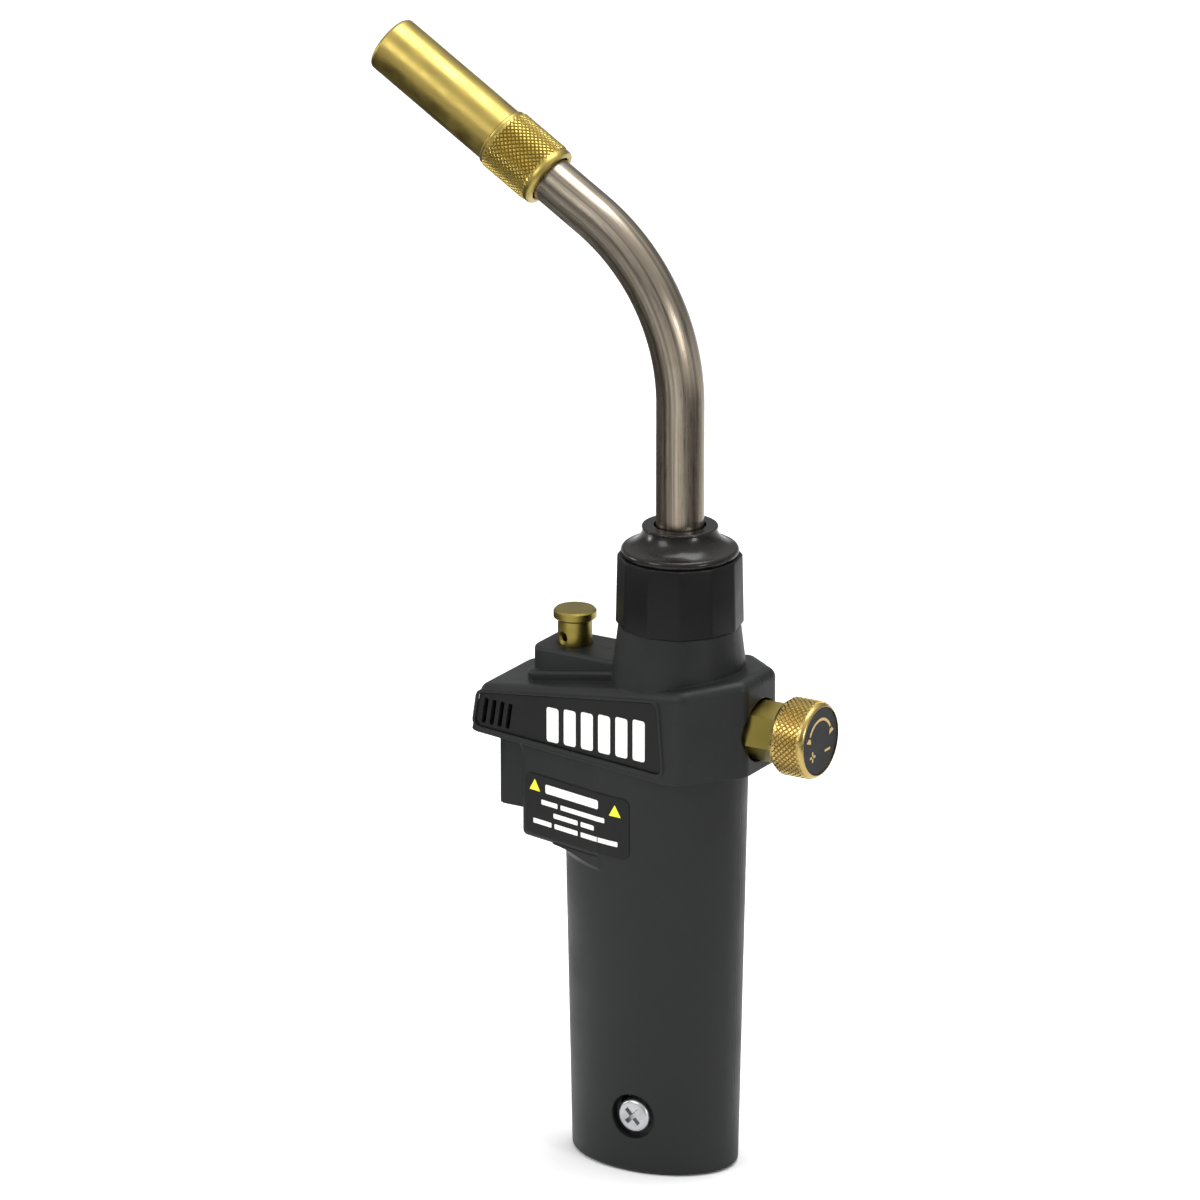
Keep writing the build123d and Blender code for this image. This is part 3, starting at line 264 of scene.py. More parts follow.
def moulded_abs(name, colour, roughness, seam=False, shine=0.22):
    """Spark-textured ABS: a faint fine grain, hand-polished patches and, on shells, the parting line."""
    material, tree, shader, place = start_material(name, {"IOR": 1.53, "Specular IOR Level": shine})
    patches = grain(tree, place, 14 * MM, 3.0)
    fine = grain(tree, place, 0.45 * MM, 2.0)
    dark = [c * 0.86 for c in linear(colour)[:3]] + [1.0]
    light = [c * 1.12 for c in linear(colour)[:3]] + [1.0]
    tint = blend_colours(tree, between(tree, patches, 0.0, 1.0), dark, light)
    rough = between(tree, patches, roughness - 0.05, roughness + 0.07)
    height = fine
    if seam:
        across = add_node(tree, "ShaderNodeSeparateXYZ", inputs={"Vector": place}).outputs["Y"]
        off = add_node(tree, "ShaderNodeMath", {"operation": "ABSOLUTE"}, {0: across}).outputs[0]
        half = sizes().seam_width / 2
        line = between(tree, off, 1.0, 0.0, half * 0.5, half)
        tint = blend_colours(tree, line, tint, linear("#0C0C0C"))
        groove = add_node(tree, "ShaderNodeMath", {"operation": "MULTIPLY"}, {0: line, 1: 4.0}).outputs[0]
        height = add_node(tree, "ShaderNodeMath", {"operation": "SUBTRACT"}, {0: fine, 1: groove}).outputs[0]
    soft = add_node(tree, "ShaderNodeBevel", {"samples": 4}, {"Radius": sizes().edge_round})
    skin = {"Height": height, "Strength": 0.35, "Distance": 0.04 * MM, "Normal": soft.outputs["Normal"]}
    bump = add_node(tree, "ShaderNodeBump", inputs=skin)
    tree.links.new(tint, shader.inputs["Base Color"])
    tree.links.new(rough, shader.inputs["Roughness"])
    tree.links.new(bump.outputs["Normal"], shader.inputs["Normal"])
    return material


def glossy_enamel(name, colour):
    """Stove enamel: a deep gloss with the faint waviness of sprayed paint."""
    material, tree, shader, place = start_material(
        name, {"IOR": 1.5, "Specular IOR Level": 0.2, "Coat Weight": 0.12, "Coat Roughness": 0.12}
    )
    wave = grain(tree, place, 3.0 * MM, 1.0)
    speck = grain(tree, place, 0.8 * MM, 2.0)
    tint = blend_colours(tree, between(tree, speck, 0.0, 1.0), linear(colour), linear("#1C1817"))
    bump = add_node(tree, "ShaderNodeBump", inputs={"Height": wave, "Strength": 0.12, "Distance": 0.1 * MM})
    tree.links.new(tint, shader.inputs["Base Color"])
    tree.links.new(between(tree, wave, 0.24, 0.3), shader.inputs["Roughness"])
    tree.links.new(bump.outputs["Normal"], shader.inputs["Normal"])
    return material


def turned_metal(name, colour, roughness, turn=(0.0, 0.0, 0.0), line=0.16 * MM, tarnish=0.25):
    """Lathe-turned metal: fine rings across the axis, and darker, duller patches of tarnish."""
    material, tree, shader, place = start_material(name, {"Metallic": 1.0})
    turned = add_node(tree, "ShaderNodeMapping", inputs={"Vector": place, "Rotation": turn}).outputs["Vector"]
    squeeze = add_node(tree, "ShaderNodeMapping", inputs={"Vector": turned, "Scale": (0.02, 0.02, 1.0)})
    rings = grain(tree, squeeze.outputs["Vector"], line, 3.0, 0.6)
    cloud = grain(tree, place, 5.0 * MM, 2.0, 0.5)
    base = linear(colour)
    dull = [base[0] * 0.68, base[1] * 0.66, base[2] * 0.52, 1.0]
    tint = blend_colours(tree, between(tree, cloud, 0.0, tarnish, 0.2, 0.8), base, dull)
    rough_cloud = between(tree, cloud, roughness - 0.04, roughness + 0.12)
    bump = add_node(tree, "ShaderNodeBump", inputs={"Height": rings, "Strength": 0.25, "Distance": 0.02 * MM})
    tree.links.new(tint, shader.inputs["Base Color"])
    tree.links.new(rough_cloud, shader.inputs["Roughness"])
    tree.links.new(bump.outputs["Normal"], shader.inputs["Normal"])
    return material


def cast_metal(name, colour, roughness):
    """Die-cast or plated metal: a fine pebbled skin with cloudy patches."""
    material, tree, shader, place = start_material(name, {"Metallic": 1.0})
    pebbles = grain(tree, place, 0.5 * MM, 3.0)
    cloud = grain(tree, place, 4.0 * MM, 3.0)
    dark = [c * 0.7 for c in linear(colour)[:3]] + [1.0]
    tint = blend_colours(tree, between(tree, cloud, 0.0, 0.6), linear(colour), dark)
    skin = {"Height": pebbles, "Strength": 0.2, "Distance": 0.03 * MM}
    bump = add_node(tree, "ShaderNodeBump", inputs=skin)
    tree.links.new(tint, shader.inputs["Base Color"])
    tree.links.new(between(tree, cloud, roughness - 0.06, roughness + 0.1), shader.inputs["Roughness"])
    tree.links.new(bump.outputs["Normal"], shader.inputs["Normal"])
    return material


def drawn_steel(name, colour):
    """Drawn stainless tube: fine drag lines and long dark streaks of painted reflection along its length, and
    warm patches of heat tint.
    """
    material, tree, shader, place = start_material(name, {"Metallic": 1.0, "Anisotropic": 0.3})
    along = add_node(tree, "ShaderNodeUVMap", {"uv_map": "UVMap"}).outputs["UV"]
    stretched = add_node(tree, "ShaderNodeMapping", inputs={"Vector": along, "Scale": (1.0, 0.03, 1.0)})
    drag = grain(tree, stretched.outputs["Vector"], 0.22 * MM, 3.0, 0.6)
    broad = add_node(tree, "ShaderNodeMapping", inputs={"Vector": along, "Scale": (1.0, 0.012, 1.0)})
    bands = grain(tree, broad.outputs["Vector"], 2.6 * MM, 3.0, 0.65)
    cloud = grain(tree, place, 9.0 * MM, 4.0, 0.6)
    base = linear(colour)
    warm = [base[0] * 0.8, base[1] * 0.74, base[2] * 0.66, 1.0]
    # Painted reflection: a dark tone laid in long streaks along the tube, in place of the dark surroundings
    # that it reflects.
    painted_reflection_tone = [base[0] * 0.36, base[1] * 0.34, base[2] * 0.32, 1.0]
    heated = blend_colours(tree, between(tree, cloud, 0.0, 0.7), base, warm)
    tint = blend_colours(tree, between(tree, bands, 0.0, 1.0, 0.42, 0.6), heated, painted_reflection_tone)
    streak = between(tree, drag, 0.24, 0.4)
    bump = add_node(tree, "ShaderNodeBump", inputs={"Height": drag, "Strength": 0.18, "Distance": 0.02 * MM})
    tree.links.new(tint, shader.inputs["Base Color"])
    tree.links.new(streak, shader.inputs["Roughness"])
    tree.links.new(bump.outputs["Normal"], shader.inputs["Normal"])
    return material


def screen_print(name, colour):
    """Screen-printed ink: nearly flat, with the slight mottling of a thin coat."""
    material, tree, shader, place = start_material(name, {"IOR": 1.48})
    mottle = grain(tree, place, 0.6 * MM, 3.0)
    dark = [c * 0.93 for c in linear(colour)[:3]] + [1.0]
    tint = blend_colours(tree, between(tree, mottle, 0.0, 1.0), dark, linear(colour))
    tree.links.new(tint, shader.inputs["Base Color"])
    tree.links.new(between(tree, mottle, 0.4, 0.55), shader.inputs["Roughness"])
    return material


def make_materials():
    """Every finish on the torch, by the material slot or piece that it is for."""
    c = colours()
    nozzle_turn = (0.0, math.radians(NOZZLE_TILT), 0.0)
    knob_turn = (0.0, math.radians(90.0), 0.0)
    return {
        # Moulded ABS from a spark-eroded tool: soft, broken highlights, and a dark parting line.
        "housing_plastic": moulded_abs("abs_spark_textured", c.shell, 0.46, seam=True),
        # The same resin from a smoother tool: a slightly tighter highlight.
        "trigger_plastic": moulded_abs("abs_satin_trigger", "#161717", 0.42),
        # Moulded nylon: the blackest and least reflective of the plastics.
        "nut_plastic": moulded_abs("nylon_satin_nut", c.nut, 0.42, shine=0.14),
        # Printed polycarbonate film: an even, flat sheen against the shell's grain.
        "panel_film": moulded_abs("polycarbonate_printed_film", c.film, 0.5, shine=0.18),
        # Stoved enamel on steel: small, clear highlights in a deep brown-black.
        "collar_enamel": glossy_enamel("steel_stove_enamelled", c.enamel),
        # Drawn stainless: long dark streaks of painted reflection that follow the bend.
        "stainless_tube": drawn_steel("stainless_drawn", c.steel),
        # Turned and burnished brass: broad soft bands of light along the sleeve.
        "nozzle_brass": turned_metal("brass_turned_nozzle", c.brass, 0.32, nozzle_turn),
        # Cut and knurled brass: warm sparkle on the flats of the diamonds.
        "knob_brass": turned_metal("brass_turned_knob", c.knob_brass, 0.27, knob_turn),
        # Turned brass left to dull: olive, with patches of tarnish.
        "brass": turned_metal("brass_turned_dull", c.dull_brass, 0.33, tarnish=0.45),
        # Zinc-plated steel: a cool, slightly cloudy shine.
        "zinc_steel": cast_metal("steel_zinc_plated", c.zinc, 0.32),
        # Die-cast zinc alloy: a grey, finely pebbled skin.
        "cast_alloy": cast_metal("zinc_die_cast", "#9A9C9E", 0.45),
        # Moulded nitrile rubber: black with almost no highlight.
        "rubber": moulded_abs("nitrile_rubber_moulded", "#191919", 0.7),
        # Fired alumina: a chalky off-white.
        "insulator_ceramic": moulded_abs("alumina_ceramic_fired", "#E4DFD2", 0.55),
        # Screen-printed inks: flat, opaque marks.
        "white_print": screen_print("ink_white_printed", c.white),
        "yellow_print": screen_print("ink_yellow_printed", c.yellow),
        "gold_print": screen_print("ink_gold_printed", "#B79C62"),
        # Felt on the studio's cards: a dark grey that swallows light.
        "flag_felt": moulded_abs("felt_black", "#2E2E2E", 0.9),
    }


# ---------------------------------------------------------------- mesh helpers


def finish_piece(bm, name, material, body, replaced=(), smooth_angle=35.0):
    """Turns a bmesh into a shown piece that rides on a body."""
    mesh = bpy.data.meshes.new(name)
    bm.to_mesh(mesh)
    bm.free()
    mesh.polygons.foreach_set("use_smooth", [True] * len(mesh.polygons))
    mesh.set_sharp_from_angle(angle=math.radians(smooth_angle))
    mesh.materials.append(bpy.data.materials[material])
    piece = bpy.data.objects.new(name, mesh)
    bpy.context.scene.collection.objects.link(piece)
    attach(piece, body)
    if replaced:
        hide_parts(*replaced)
    return piece


def spun(outline, steps=ROUND_STEPS):
    """A round solid about Z from an outline of (radius, height) points, closed if its ends meet the axis."""
    bm = bmesh.new()
    verts = [bm.verts.new((radius, 0.0, height)) for radius, height in outline]
    for first, second in zip(verts, verts[1:]):
        bm.edges.new((first, second))
    bmesh.ops.spin(
        bm,
        geom=bm.verts[:] + bm.edges[:],
        axis=(0, 0, 1),
        cent=(0, 0, 0),
        angle=math.tau,
        steps=steps,
        use_merge=True,
    )
    bmesh.ops.remove_doubles(bm, verts=bm.verts, dist=MERGE_DISTANCE)
    bmesh.ops.recalc_face_normals(bm, faces=bm.faces)
    return bm


def soften(bm, width, segments=3, least_angle=25.0):
    """Rounds every edge sharper than an angle."""
    least = math.radians(least_angle)
    sharp = [e for e in bm.edges if len(e.link_faces) == 2 and e.calc_face_angle() > least]
    bmesh.ops.bevel(
        bm, geom=sharp, offset=width, segments=segments, profile=0.5, affect="EDGES", material=-1
    )


def place(bm, matrix):
    """Moves a bmesh to its place."""
    bmesh.ops.transform(bm, matrix=matrix, verts=bm.verts)


def facing(origin, direction, up=(0.0, 0.0, 1.0)):
    """A placing matrix whose Z points along a direction, with Y as near to up as it can be."""
    z = Vector(direction).normalized()
    x = Vector(up).cross(z)
    if x.length < 1e-6:
        x = Vector((1.0, 0.0, 0.0))
    x.normalize()
    y = z.cross(x)
    turn = Matrix((x, y, z)).transposed().to_4x4()
    return Matrix.Translation(Vector(origin)) @ turn


def knurled_band(radius, low, high, pitch, depth):
    """A band of flat-topped diamonds on a cylinder about Z."""
    columns = 2 * max(12, round(math.tau * radius / pitch))
    rows = 2 * max(2, round((high - low) / pitch))
    bm = bmesh.new()
    verts = [bm.verts.new((radius - depth, 0.0, low + (high - low) * i / rows)) for i in range(rows + 1)]
    for first, second in zip(verts, verts[1:]):
        bm.edges.new((first, second))
    bmesh.ops.spin(
        bm,
        geom=bm.verts[:] + bm.edges[:],
        axis=(0, 0, 1),
        cent=(0, 0, 0),
        angle=math.tau,
        steps=columns,
        use_merge=True,
    )
    bmesh.ops.remove_doubles(bm, verts=bm.verts, dist=MERGE_DISTANCE)
    row_height = (high - low) / rows
    peaks = []
    for vert in bm.verts:
        column = round(math.atan2(vert.co.y, vert.co.x) / math.tau * columns)
        row = round((vert.co.z - low) / row_height)
        if (row + column) % 2 and 0 < row < rows:
            vert.co.x *= radius / (radius - depth)
            vert.co.y *= radius / (radius - depth)
            peaks.append(vert)
    bmesh.ops.triangulate(bm, faces=bm.faces, quad_method="SHORT_EDGE")
    bmesh.ops.dissolve_verts(bm, verts=peaks)
    diamonds = [f for f in bm.faces if len(f.verts) == 4]
    bmesh.ops.recalc_face_normals(bm, faces=bm.faces)
    bmesh.ops.inset_individual(bm, faces=diamonds, thickness=pitch * 0.24, depth=depth)
    return bm


def joined(first, second):
    """Adds the second bmesh's faces to the first, and frees it."""
    mesh = bpy.data.meshes.new("joined")
    second.to_mesh(mesh)
    second.free()
    first.from_mesh(mesh)
    bpy.data.meshes.remove(mesh)
    return first


def nozzle_frame():
    """The ring's middle and the nozzle's forward direction, from the ring's and sleeve's boxes."""
    ring_low, ring_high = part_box("knurled_ring")
    sleeve_low, sleeve_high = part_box("burner_sleeve")
    ring_middle = (ring_low + ring_high) / 2
    sleeve_middle = (sleeve_low + sleeve_high) / 2
    return ring_middle, (sleeve_middle - ring_middle).normalized()


# ---------------------------------------------------------------- operators


class TORCH_OT_finishes(bpy.types.Operator):
    """Give every node of the frame its finish"""

    bl_idname = "torch.finishes"
    bl_label = "Apply Finishes"

    def execute(self, context):
        """Makes the materials and puts one on each node."""
        finishes = make_materials()
        better = {
            "burner_sleeve": "nozzle_brass",
            "knurled_ring": "nozzle_brass",
            "flame_knob": "knob_brass",
                    }
        slots = {part["node"]: part["material_slot"] for part in frame["record"]["subparts"]}
        for node, piece in frame["nodes"].items():
            finish = finishes[better.get(node, slots[node])]
            piece.data.materials.clear()
            piece.data.materials.append(finish)
        return {"FINISHED"}


class TORCH_OT_flame_knob(bpy.types.Operator):
    """Build the knurled flame knob and its dial"""

    bl_idname = "torch.flame_knob"
    bl_label = "Flame Knob"

    def execute(self, context):
        """A turned brass knob with a knurled band, and marks on its dark disc."""
        low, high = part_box("flame_knob")
        radius = (high.z - low.z) / 2
        length = high.x - low.x
        rim = 1.1 * MM
        depth = sizes().knurl_depth
        bore = KNOB_BORE
        disc_low, disc_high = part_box("knob_disc")
        pocket = (disc_high.z - disc_low.z) / 2 + 0.1 * MM
        pocket_depth = high.x - disc_low.x
        outline = (
            (bore, KNOB_BORE_DEPTH),
            (bore, 0.0),
            (radius - 1.4 * MM, 0.0),
            (radius - 0.9 * MM, 0.25 * MM),
            (radius - 0.75 * MM, 0.8 * MM),
            (radius - depth, rim),
        )
        outer = (
            (radius - depth, length - rim),
            (radius - 0.55 * MM, length - 0.55 * MM),
            (radius - 0.9 * MM, length - 0.15 * MM),
            (radius - 1.15 * MM, length),
            (pocket, length),
            (pocket, length - pocket_depth),
            (0.0, length - pocket_depth),
        )
        body = joined(spun(outline), spun(outer))
        body = joined(body, knurled_band(radius, rim, length - rim, sizes().knurl_pitch, depth))
        centre = Vector((low.x, (low.y + high.y) / 2, (low.z + high.z) / 2))
        place(body, facing(centre, (1, 0, 0)))
        finish_piece(body, "flame_knob_knurled", "brass_turned_knob", "knob_body", ("flame_knob",))
        self.dial(Vector((disc_high.x, centre.y, centre.z)))
        return {"FINISHED"}

    def dial(self, centre):
        """A double-headed arc over the disc, with a plus and a minus below its ends."""
        thick = sizes().print_height
        arc = self.flat_arc(DIAL_RADIUS, DIAL_HALF_WIDTH, DIAL_START, DIAL_END)
        for angle, way in ((DIAL_START, -1), (DIAL_END, 1)):
            head = bmesh.new()
            bmesh.ops.create_circle(head, cap_ends=True, segments=3, radius=DIAL_HEAD_RADIUS)
            where = math.radians(angle + way * DIAL_HEAD_OVERHANG)
            spin = math.radians(angle + (180.0 if way > 0 else 0.0))
            turn = Matrix.Rotation(spin, 4, "Z")
            spot = Matrix.Translation((DIAL_RADIUS * math.cos(where), DIAL_RADIUS * math.sin(where), 0))
            place(head, spot @ turn)
            arc = joined(arc, head)
        for x in (-SIGN_X, SIGN_X):
            arc = joined(arc, self.bar(x, SIGN_Y, SIGN_LENGTH, SIGN_WIDTH))
        arc = joined(arc, self.bar(-SIGN_X, SIGN_Y, SIGN_WIDTH, SIGN_LENGTH))
        place(arc, facing(centre + Vector((thick, 0, 0)), (1, 0, 0)))
        finish_piece(arc, "knob_dial_marks", "ink_gold_printed", "knob_body")

    def flat_arc(self, radius, half, start, end):
        """A flat ring segment in the XY plane."""
        bm = bmesh.new()
        first = math.radians(start)
        inner = bm.verts.new(((radius - half) * math.cos(first), (radius - half) * math.sin(first), 0))
        outer = bm.verts.new(((radius + half) * math.cos(first), (radius + half) * math.sin(first), 0))
        edge = bm.edges.new((inner, outer))
        bmesh.ops.spin(
            bm, geom=[inner, outer, edge], axis=(0, 0, 1), cent=(0, 0, 0),
            angle=math.radians(end - start), steps=24,
        )
        return bm

    def bar(self, x, y, width, height):
        """A flat bar in the XY plane."""
        bm = bmesh.new()
        bmesh.ops.create_grid(bm, x_segments=1, y_segments=1, size=0.5)
        place(bm, Matrix.Translation((x, y, 0)) @ Matrix.Diagonal((width, height, 1, 1)))
        return bm


class TORCH_OT_nozzle(bpy.types.Operator):
    """Build the knurled ring and the nozzle sleeve"""

    bl_idname = "torch.nozzle"
    bl_label = "Nozzle"

    def execute(self, context):
        """A knurled ring with smooth rims."""
        ring_middle, forward = nozzle_frame()
        low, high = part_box("knurled_ring")
        radius = (high.y - low.y) / 2
        length = RING_LENGTH
        depth = sizes().knurl_depth
        rim = 2.2 * MM
        front_rim = 1.2 * MM
        bore = RING_BORE
        seat = (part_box("burner_sleeve")[1].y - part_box("burner_sleeve")[0].y) / 2
        rear = (
            (bore, length * 0.6),
            (bore, 0.3 * MM),
            (bore + 0.3 * MM, 0.0),
            (radius - 1.0 * MM, 0.0),
            (radius - 0.5 * MM, 0.25 * MM),
            (radius - 0.25 * MM, 0.9 * MM),
            (radius - 0.25 * MM, rim - 0.3 * MM),
            (radius - depth, rim),
        )
        front = (
            (radius - depth, length - front_rim),
            (radius - 0.3 * MM, length - 0.9 * MM),
            (radius - 0.35 * MM, length - 0.3 * MM),
            (radius - 0.6 * MM, length),
            (seat, length),
            (seat, length - SLEEVE_SEAT_DEPTH),
            (bore, length - SLEEVE_SEAT_DEPTH),
        )
        body = joined(spun(rear), spun(front))
        body = joined(body, knurled_band(radius, rim, length - front_rim, sizes().ring_knurl_pitch, depth))
        place(body, facing(ring_middle - forward * length / 2, forward))
        finish_piece(
            body, "nozzle_ring_knurled", "brass_turned_nozzle", "housing", ("knurled_ring",)
        )
        self.sleeve(ring_middle, forward, seat)
        return {"FINISHED"}

    def sleeve(self, ring_middle, forward, radius):
        """A drawn sleeve whose mouth is rolled over to a round lip."""
        length = SLEEVE_LENGTH
        inner = radius - SLEEVE_WALL
        lip = 1.3 * MM
        curl = 0.5 * MM
        outline = [(inner, 0.0), (radius, 0.0)]
        for step in range(9):
            turn = math.radians(90 * step / 8)
            outline.append((radius - lip + lip * math.cos(turn), length - lip + lip * math.sin(turn)))
        for step in range(1, 5):
            turn = math.radians(90 + 90 * step / 4)
            across = radius - lip - 0.1 * MM + curl * math.cos(turn)
            outline.append((across, length - curl + curl * math.sin(turn)))
        outline += [(inner, length - 2.4 * MM), (inner, 0.0)]
        body = spun(outline)
        start = ring_middle + forward * (RING_LENGTH / 2 - SLEEVE_SEAT_DEPTH)
        place(body, facing(start, forward))
        finish_piece(
            body, "nozzle_sleeve_turned", "brass_turned_nozzle", "housing", ("burner_sleeve",), 40.0
        )


class TORCH_OT_burner_tube(bpy.types.Operator):
    """Build the bent burner tube with drag lines along it"""

    bl_idname = "torch.burner_tube"
    bl_label = "Burner Tube"

    def execute(self, context):
        """A circle extruded up, spun round the bend and extruded on into the ring."""
        low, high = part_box("burner_tube")
        radius = (high.y - low.y) / 2
        axis_x = high.x - radius
        ring_middle, forward = nozzle_frame()
        bend = math.atan2(-forward.x, forward.z)
        bend_radius = TUBE_BEND_RADIUS
        bend_end = ring_middle - forward * (RING_LENGTH / 2 + TUBE_RUN_OUT)
        bend_start_z = bend_end.z - bend_radius * math.sin(bend)
        bm = bmesh.new()
        bmesh.ops.create_circle(bm, cap_ends=False, segments=64, radius=radius)
        place(bm, Matrix.Translation((axis_x, 0, low.z)))
        uv = bm.loops.layers.uv.new("UVMap")
        straight = bend_start_z - low.z
        edges = self.pull(bm, bm.edges[:], Vector((0, 0, straight)))
        spun_geom = bmesh.ops.spin(
            bm,
            geom=edges + list({v for e in edges for v in e.verts}),
            axis=(0, -1, 0),
            cent=(axis_x - bend_radius, 0, bend_start_z),
            angle=bend,
            steps=48,
        )
        last = [g for g in spun_geom["geom_last"] if isinstance(g, bmesh.types.BMEdge)]
        self.pull(bm, last, forward * (TUBE_RUN_OUT + TUBE_IN_RING))
        bmesh.ops.remove_doubles(bm, verts=bm.verts, dist=MERGE_DISTANCE)
        bmesh.ops.recalc_face_normals(bm, faces=bm.faces)
        centre = Vector((axis_x - bend_radius, 0, bend_start_z))
        for face in bm.faces:
            for loop in face.loops:
                point = loop.vert.co
                loop[uv].uv = self.unrolled(point, centre, axis_x, bend_radius, bend, radius)
        finish_piece(
            bm, "burner_tube_drawn", "stainless_drawn", "housing", ("burner_tube",)
        )
        return {"FINISHED"}

    def pull(self, bm, edges, step):
        """Extrudes a ring of edges by a step, and returns its new edges."""
        made = bmesh.ops.extrude_edge_only(bm, edges=edges)["geom"]
        verts = [g for g in made if isinstance(g, bmesh.types.BMVert)]
        bmesh.ops.translate(bm, vec=step, verts=verts)
        return [g for g in made if isinstance(g, bmesh.types.BMEdge) and all(v in verts for v in g.verts)]

    def unrolled(self, point, centre, axis_x, bend_radius, bend, radius):
        """Metres round the tube, and metres along it."""
        if point.z <= centre.z:
            along = point.z
            side = Vector((point.x - axis_x, point.y))
        else:
            arm = Vector((point.x - centre.x, point.z - centre.z))
            angle = min(math.atan2(arm.y, arm.x), bend)
            out = Vector((math.cos(angle), 0, math.sin(angle)))
            middle = centre + out * bend_radius
            beyond = (point - middle).dot(Vector((-math.sin(angle), 0, math.cos(angle))))
            along = centre.z + bend_radius * angle + beyond
            side = Vector(((point - middle).dot(out), point.y))
        round_angle = math.atan2(side.y, side.x)
        return (round_angle * radius, along)


class TORCH_OT_neck(bpy.types.Operator):
    """Build the twelve-sided neck nut"""

    bl_idname = "torch.neck"
    bl_label = "Neck Nut"

    def execute(self, context):
        """A twelve-sided prism that narrows a little upwards, with rounded edges and a flat inset ring on
        each end.
        """
        low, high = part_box("neck_nut")
        radius = (high.y - low.y) / 2
        centre = Vector(((low.x + high.x) / 2, 0, 0))
        bm = bmesh.new()
        bmesh.ops.create_cone(
            bm,
            cap_ends=True,
            cap_tris=False,
            segments=12,
            radius1=radius,
            radius2=radius * 0.975,
            depth=high.z - low.z,
        )
        caps = [f for f in bm.faces if abs(f.normal.z) > 0.9]
        bmesh.ops.inset_individual(bm, faces=caps, thickness=1.6 * MM)
        soften(bm, 0.55 * MM, 3, 8.0)
        place(bm, Matrix.Translation((centre.x, 0, (low.z + high.z) / 2)))
        finish_piece(bm, "neck_nut_rounded", "nylon_satin_nut", "housing", ("neck_nut",), 20.0)
        return {"FINISHED"}


class TORCH_OT_springs(bpy.types.Operator):
    """Build the two coil springs"""

    bl_idname = "torch.springs"
    bl_label = "Springs"

    def execute(self, context):
        """The button's spring stands on its web, and the valve's spring ends at the chamber's rear wall."""
        low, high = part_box("lock_button_spring")
        foot = Vector(((low.x + high.x) / 2, (low.y + high.y) / 2, low.z))
        outer = (high.y - low.y) / 2
        up = Vector((0, 0, high.z - low.z))
        self.coil("lock_button_spring", foot, up, outer, BUTTON_SPRING_TURNS, "lock_press")
        low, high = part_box("valve_spring")
        foot = Vector((high.x, (low.y + high.y) / 2, (low.z + high.z) / 2))
        outer = (high.y - low.y) / 2
        ahead = Vector((low.x - high.x, 0, 0))
        self.coil("valve_spring", foot, ahead, outer, VALVE_SPRING_TURNS, "valve_open")
        return {"FINISHED"}

    def coil(self, node, foot, reach, outer, turns, joint):
        """A round wire spun into a helix from its foot along its reach; its joint is not used."""
        wire = sizes().spring_wire / 2
        radius = outer - wire
        length = reach.length
        steps = turns * COIL_STEPS
        rise = (length - 2 * wire) / steps
        bm = bmesh.new()
        bmesh.ops.create_circle(bm, cap_ends=False, segments=10, radius=wire)
        place(bm, Matrix.Translation((radius, 0, wire)) @ Matrix.Rotation(math.radians(90.0), 4, "X"))
        bmesh.ops.spin(
            bm,
            geom=bm.verts[:] + bm.edges[:],
            axis=(0, 0, 1),
            cent=(0, 0, 0),
            dvec=(0, 0, rise),
            angle=turns * math.tau,
            steps=steps,
        )
        bmesh.ops.holes_fill(bm, edges=[e for e in bm.edges if e.is_boundary], sides=0)
        bmesh.ops.recalc_face_normals(bm, faces=bm.faces)
        place(bm, facing(foot, reach))
        piece = finish_piece(bm, node + "_coiled", "steel_zinc_plated", "housing", (node,))
        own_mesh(piece)


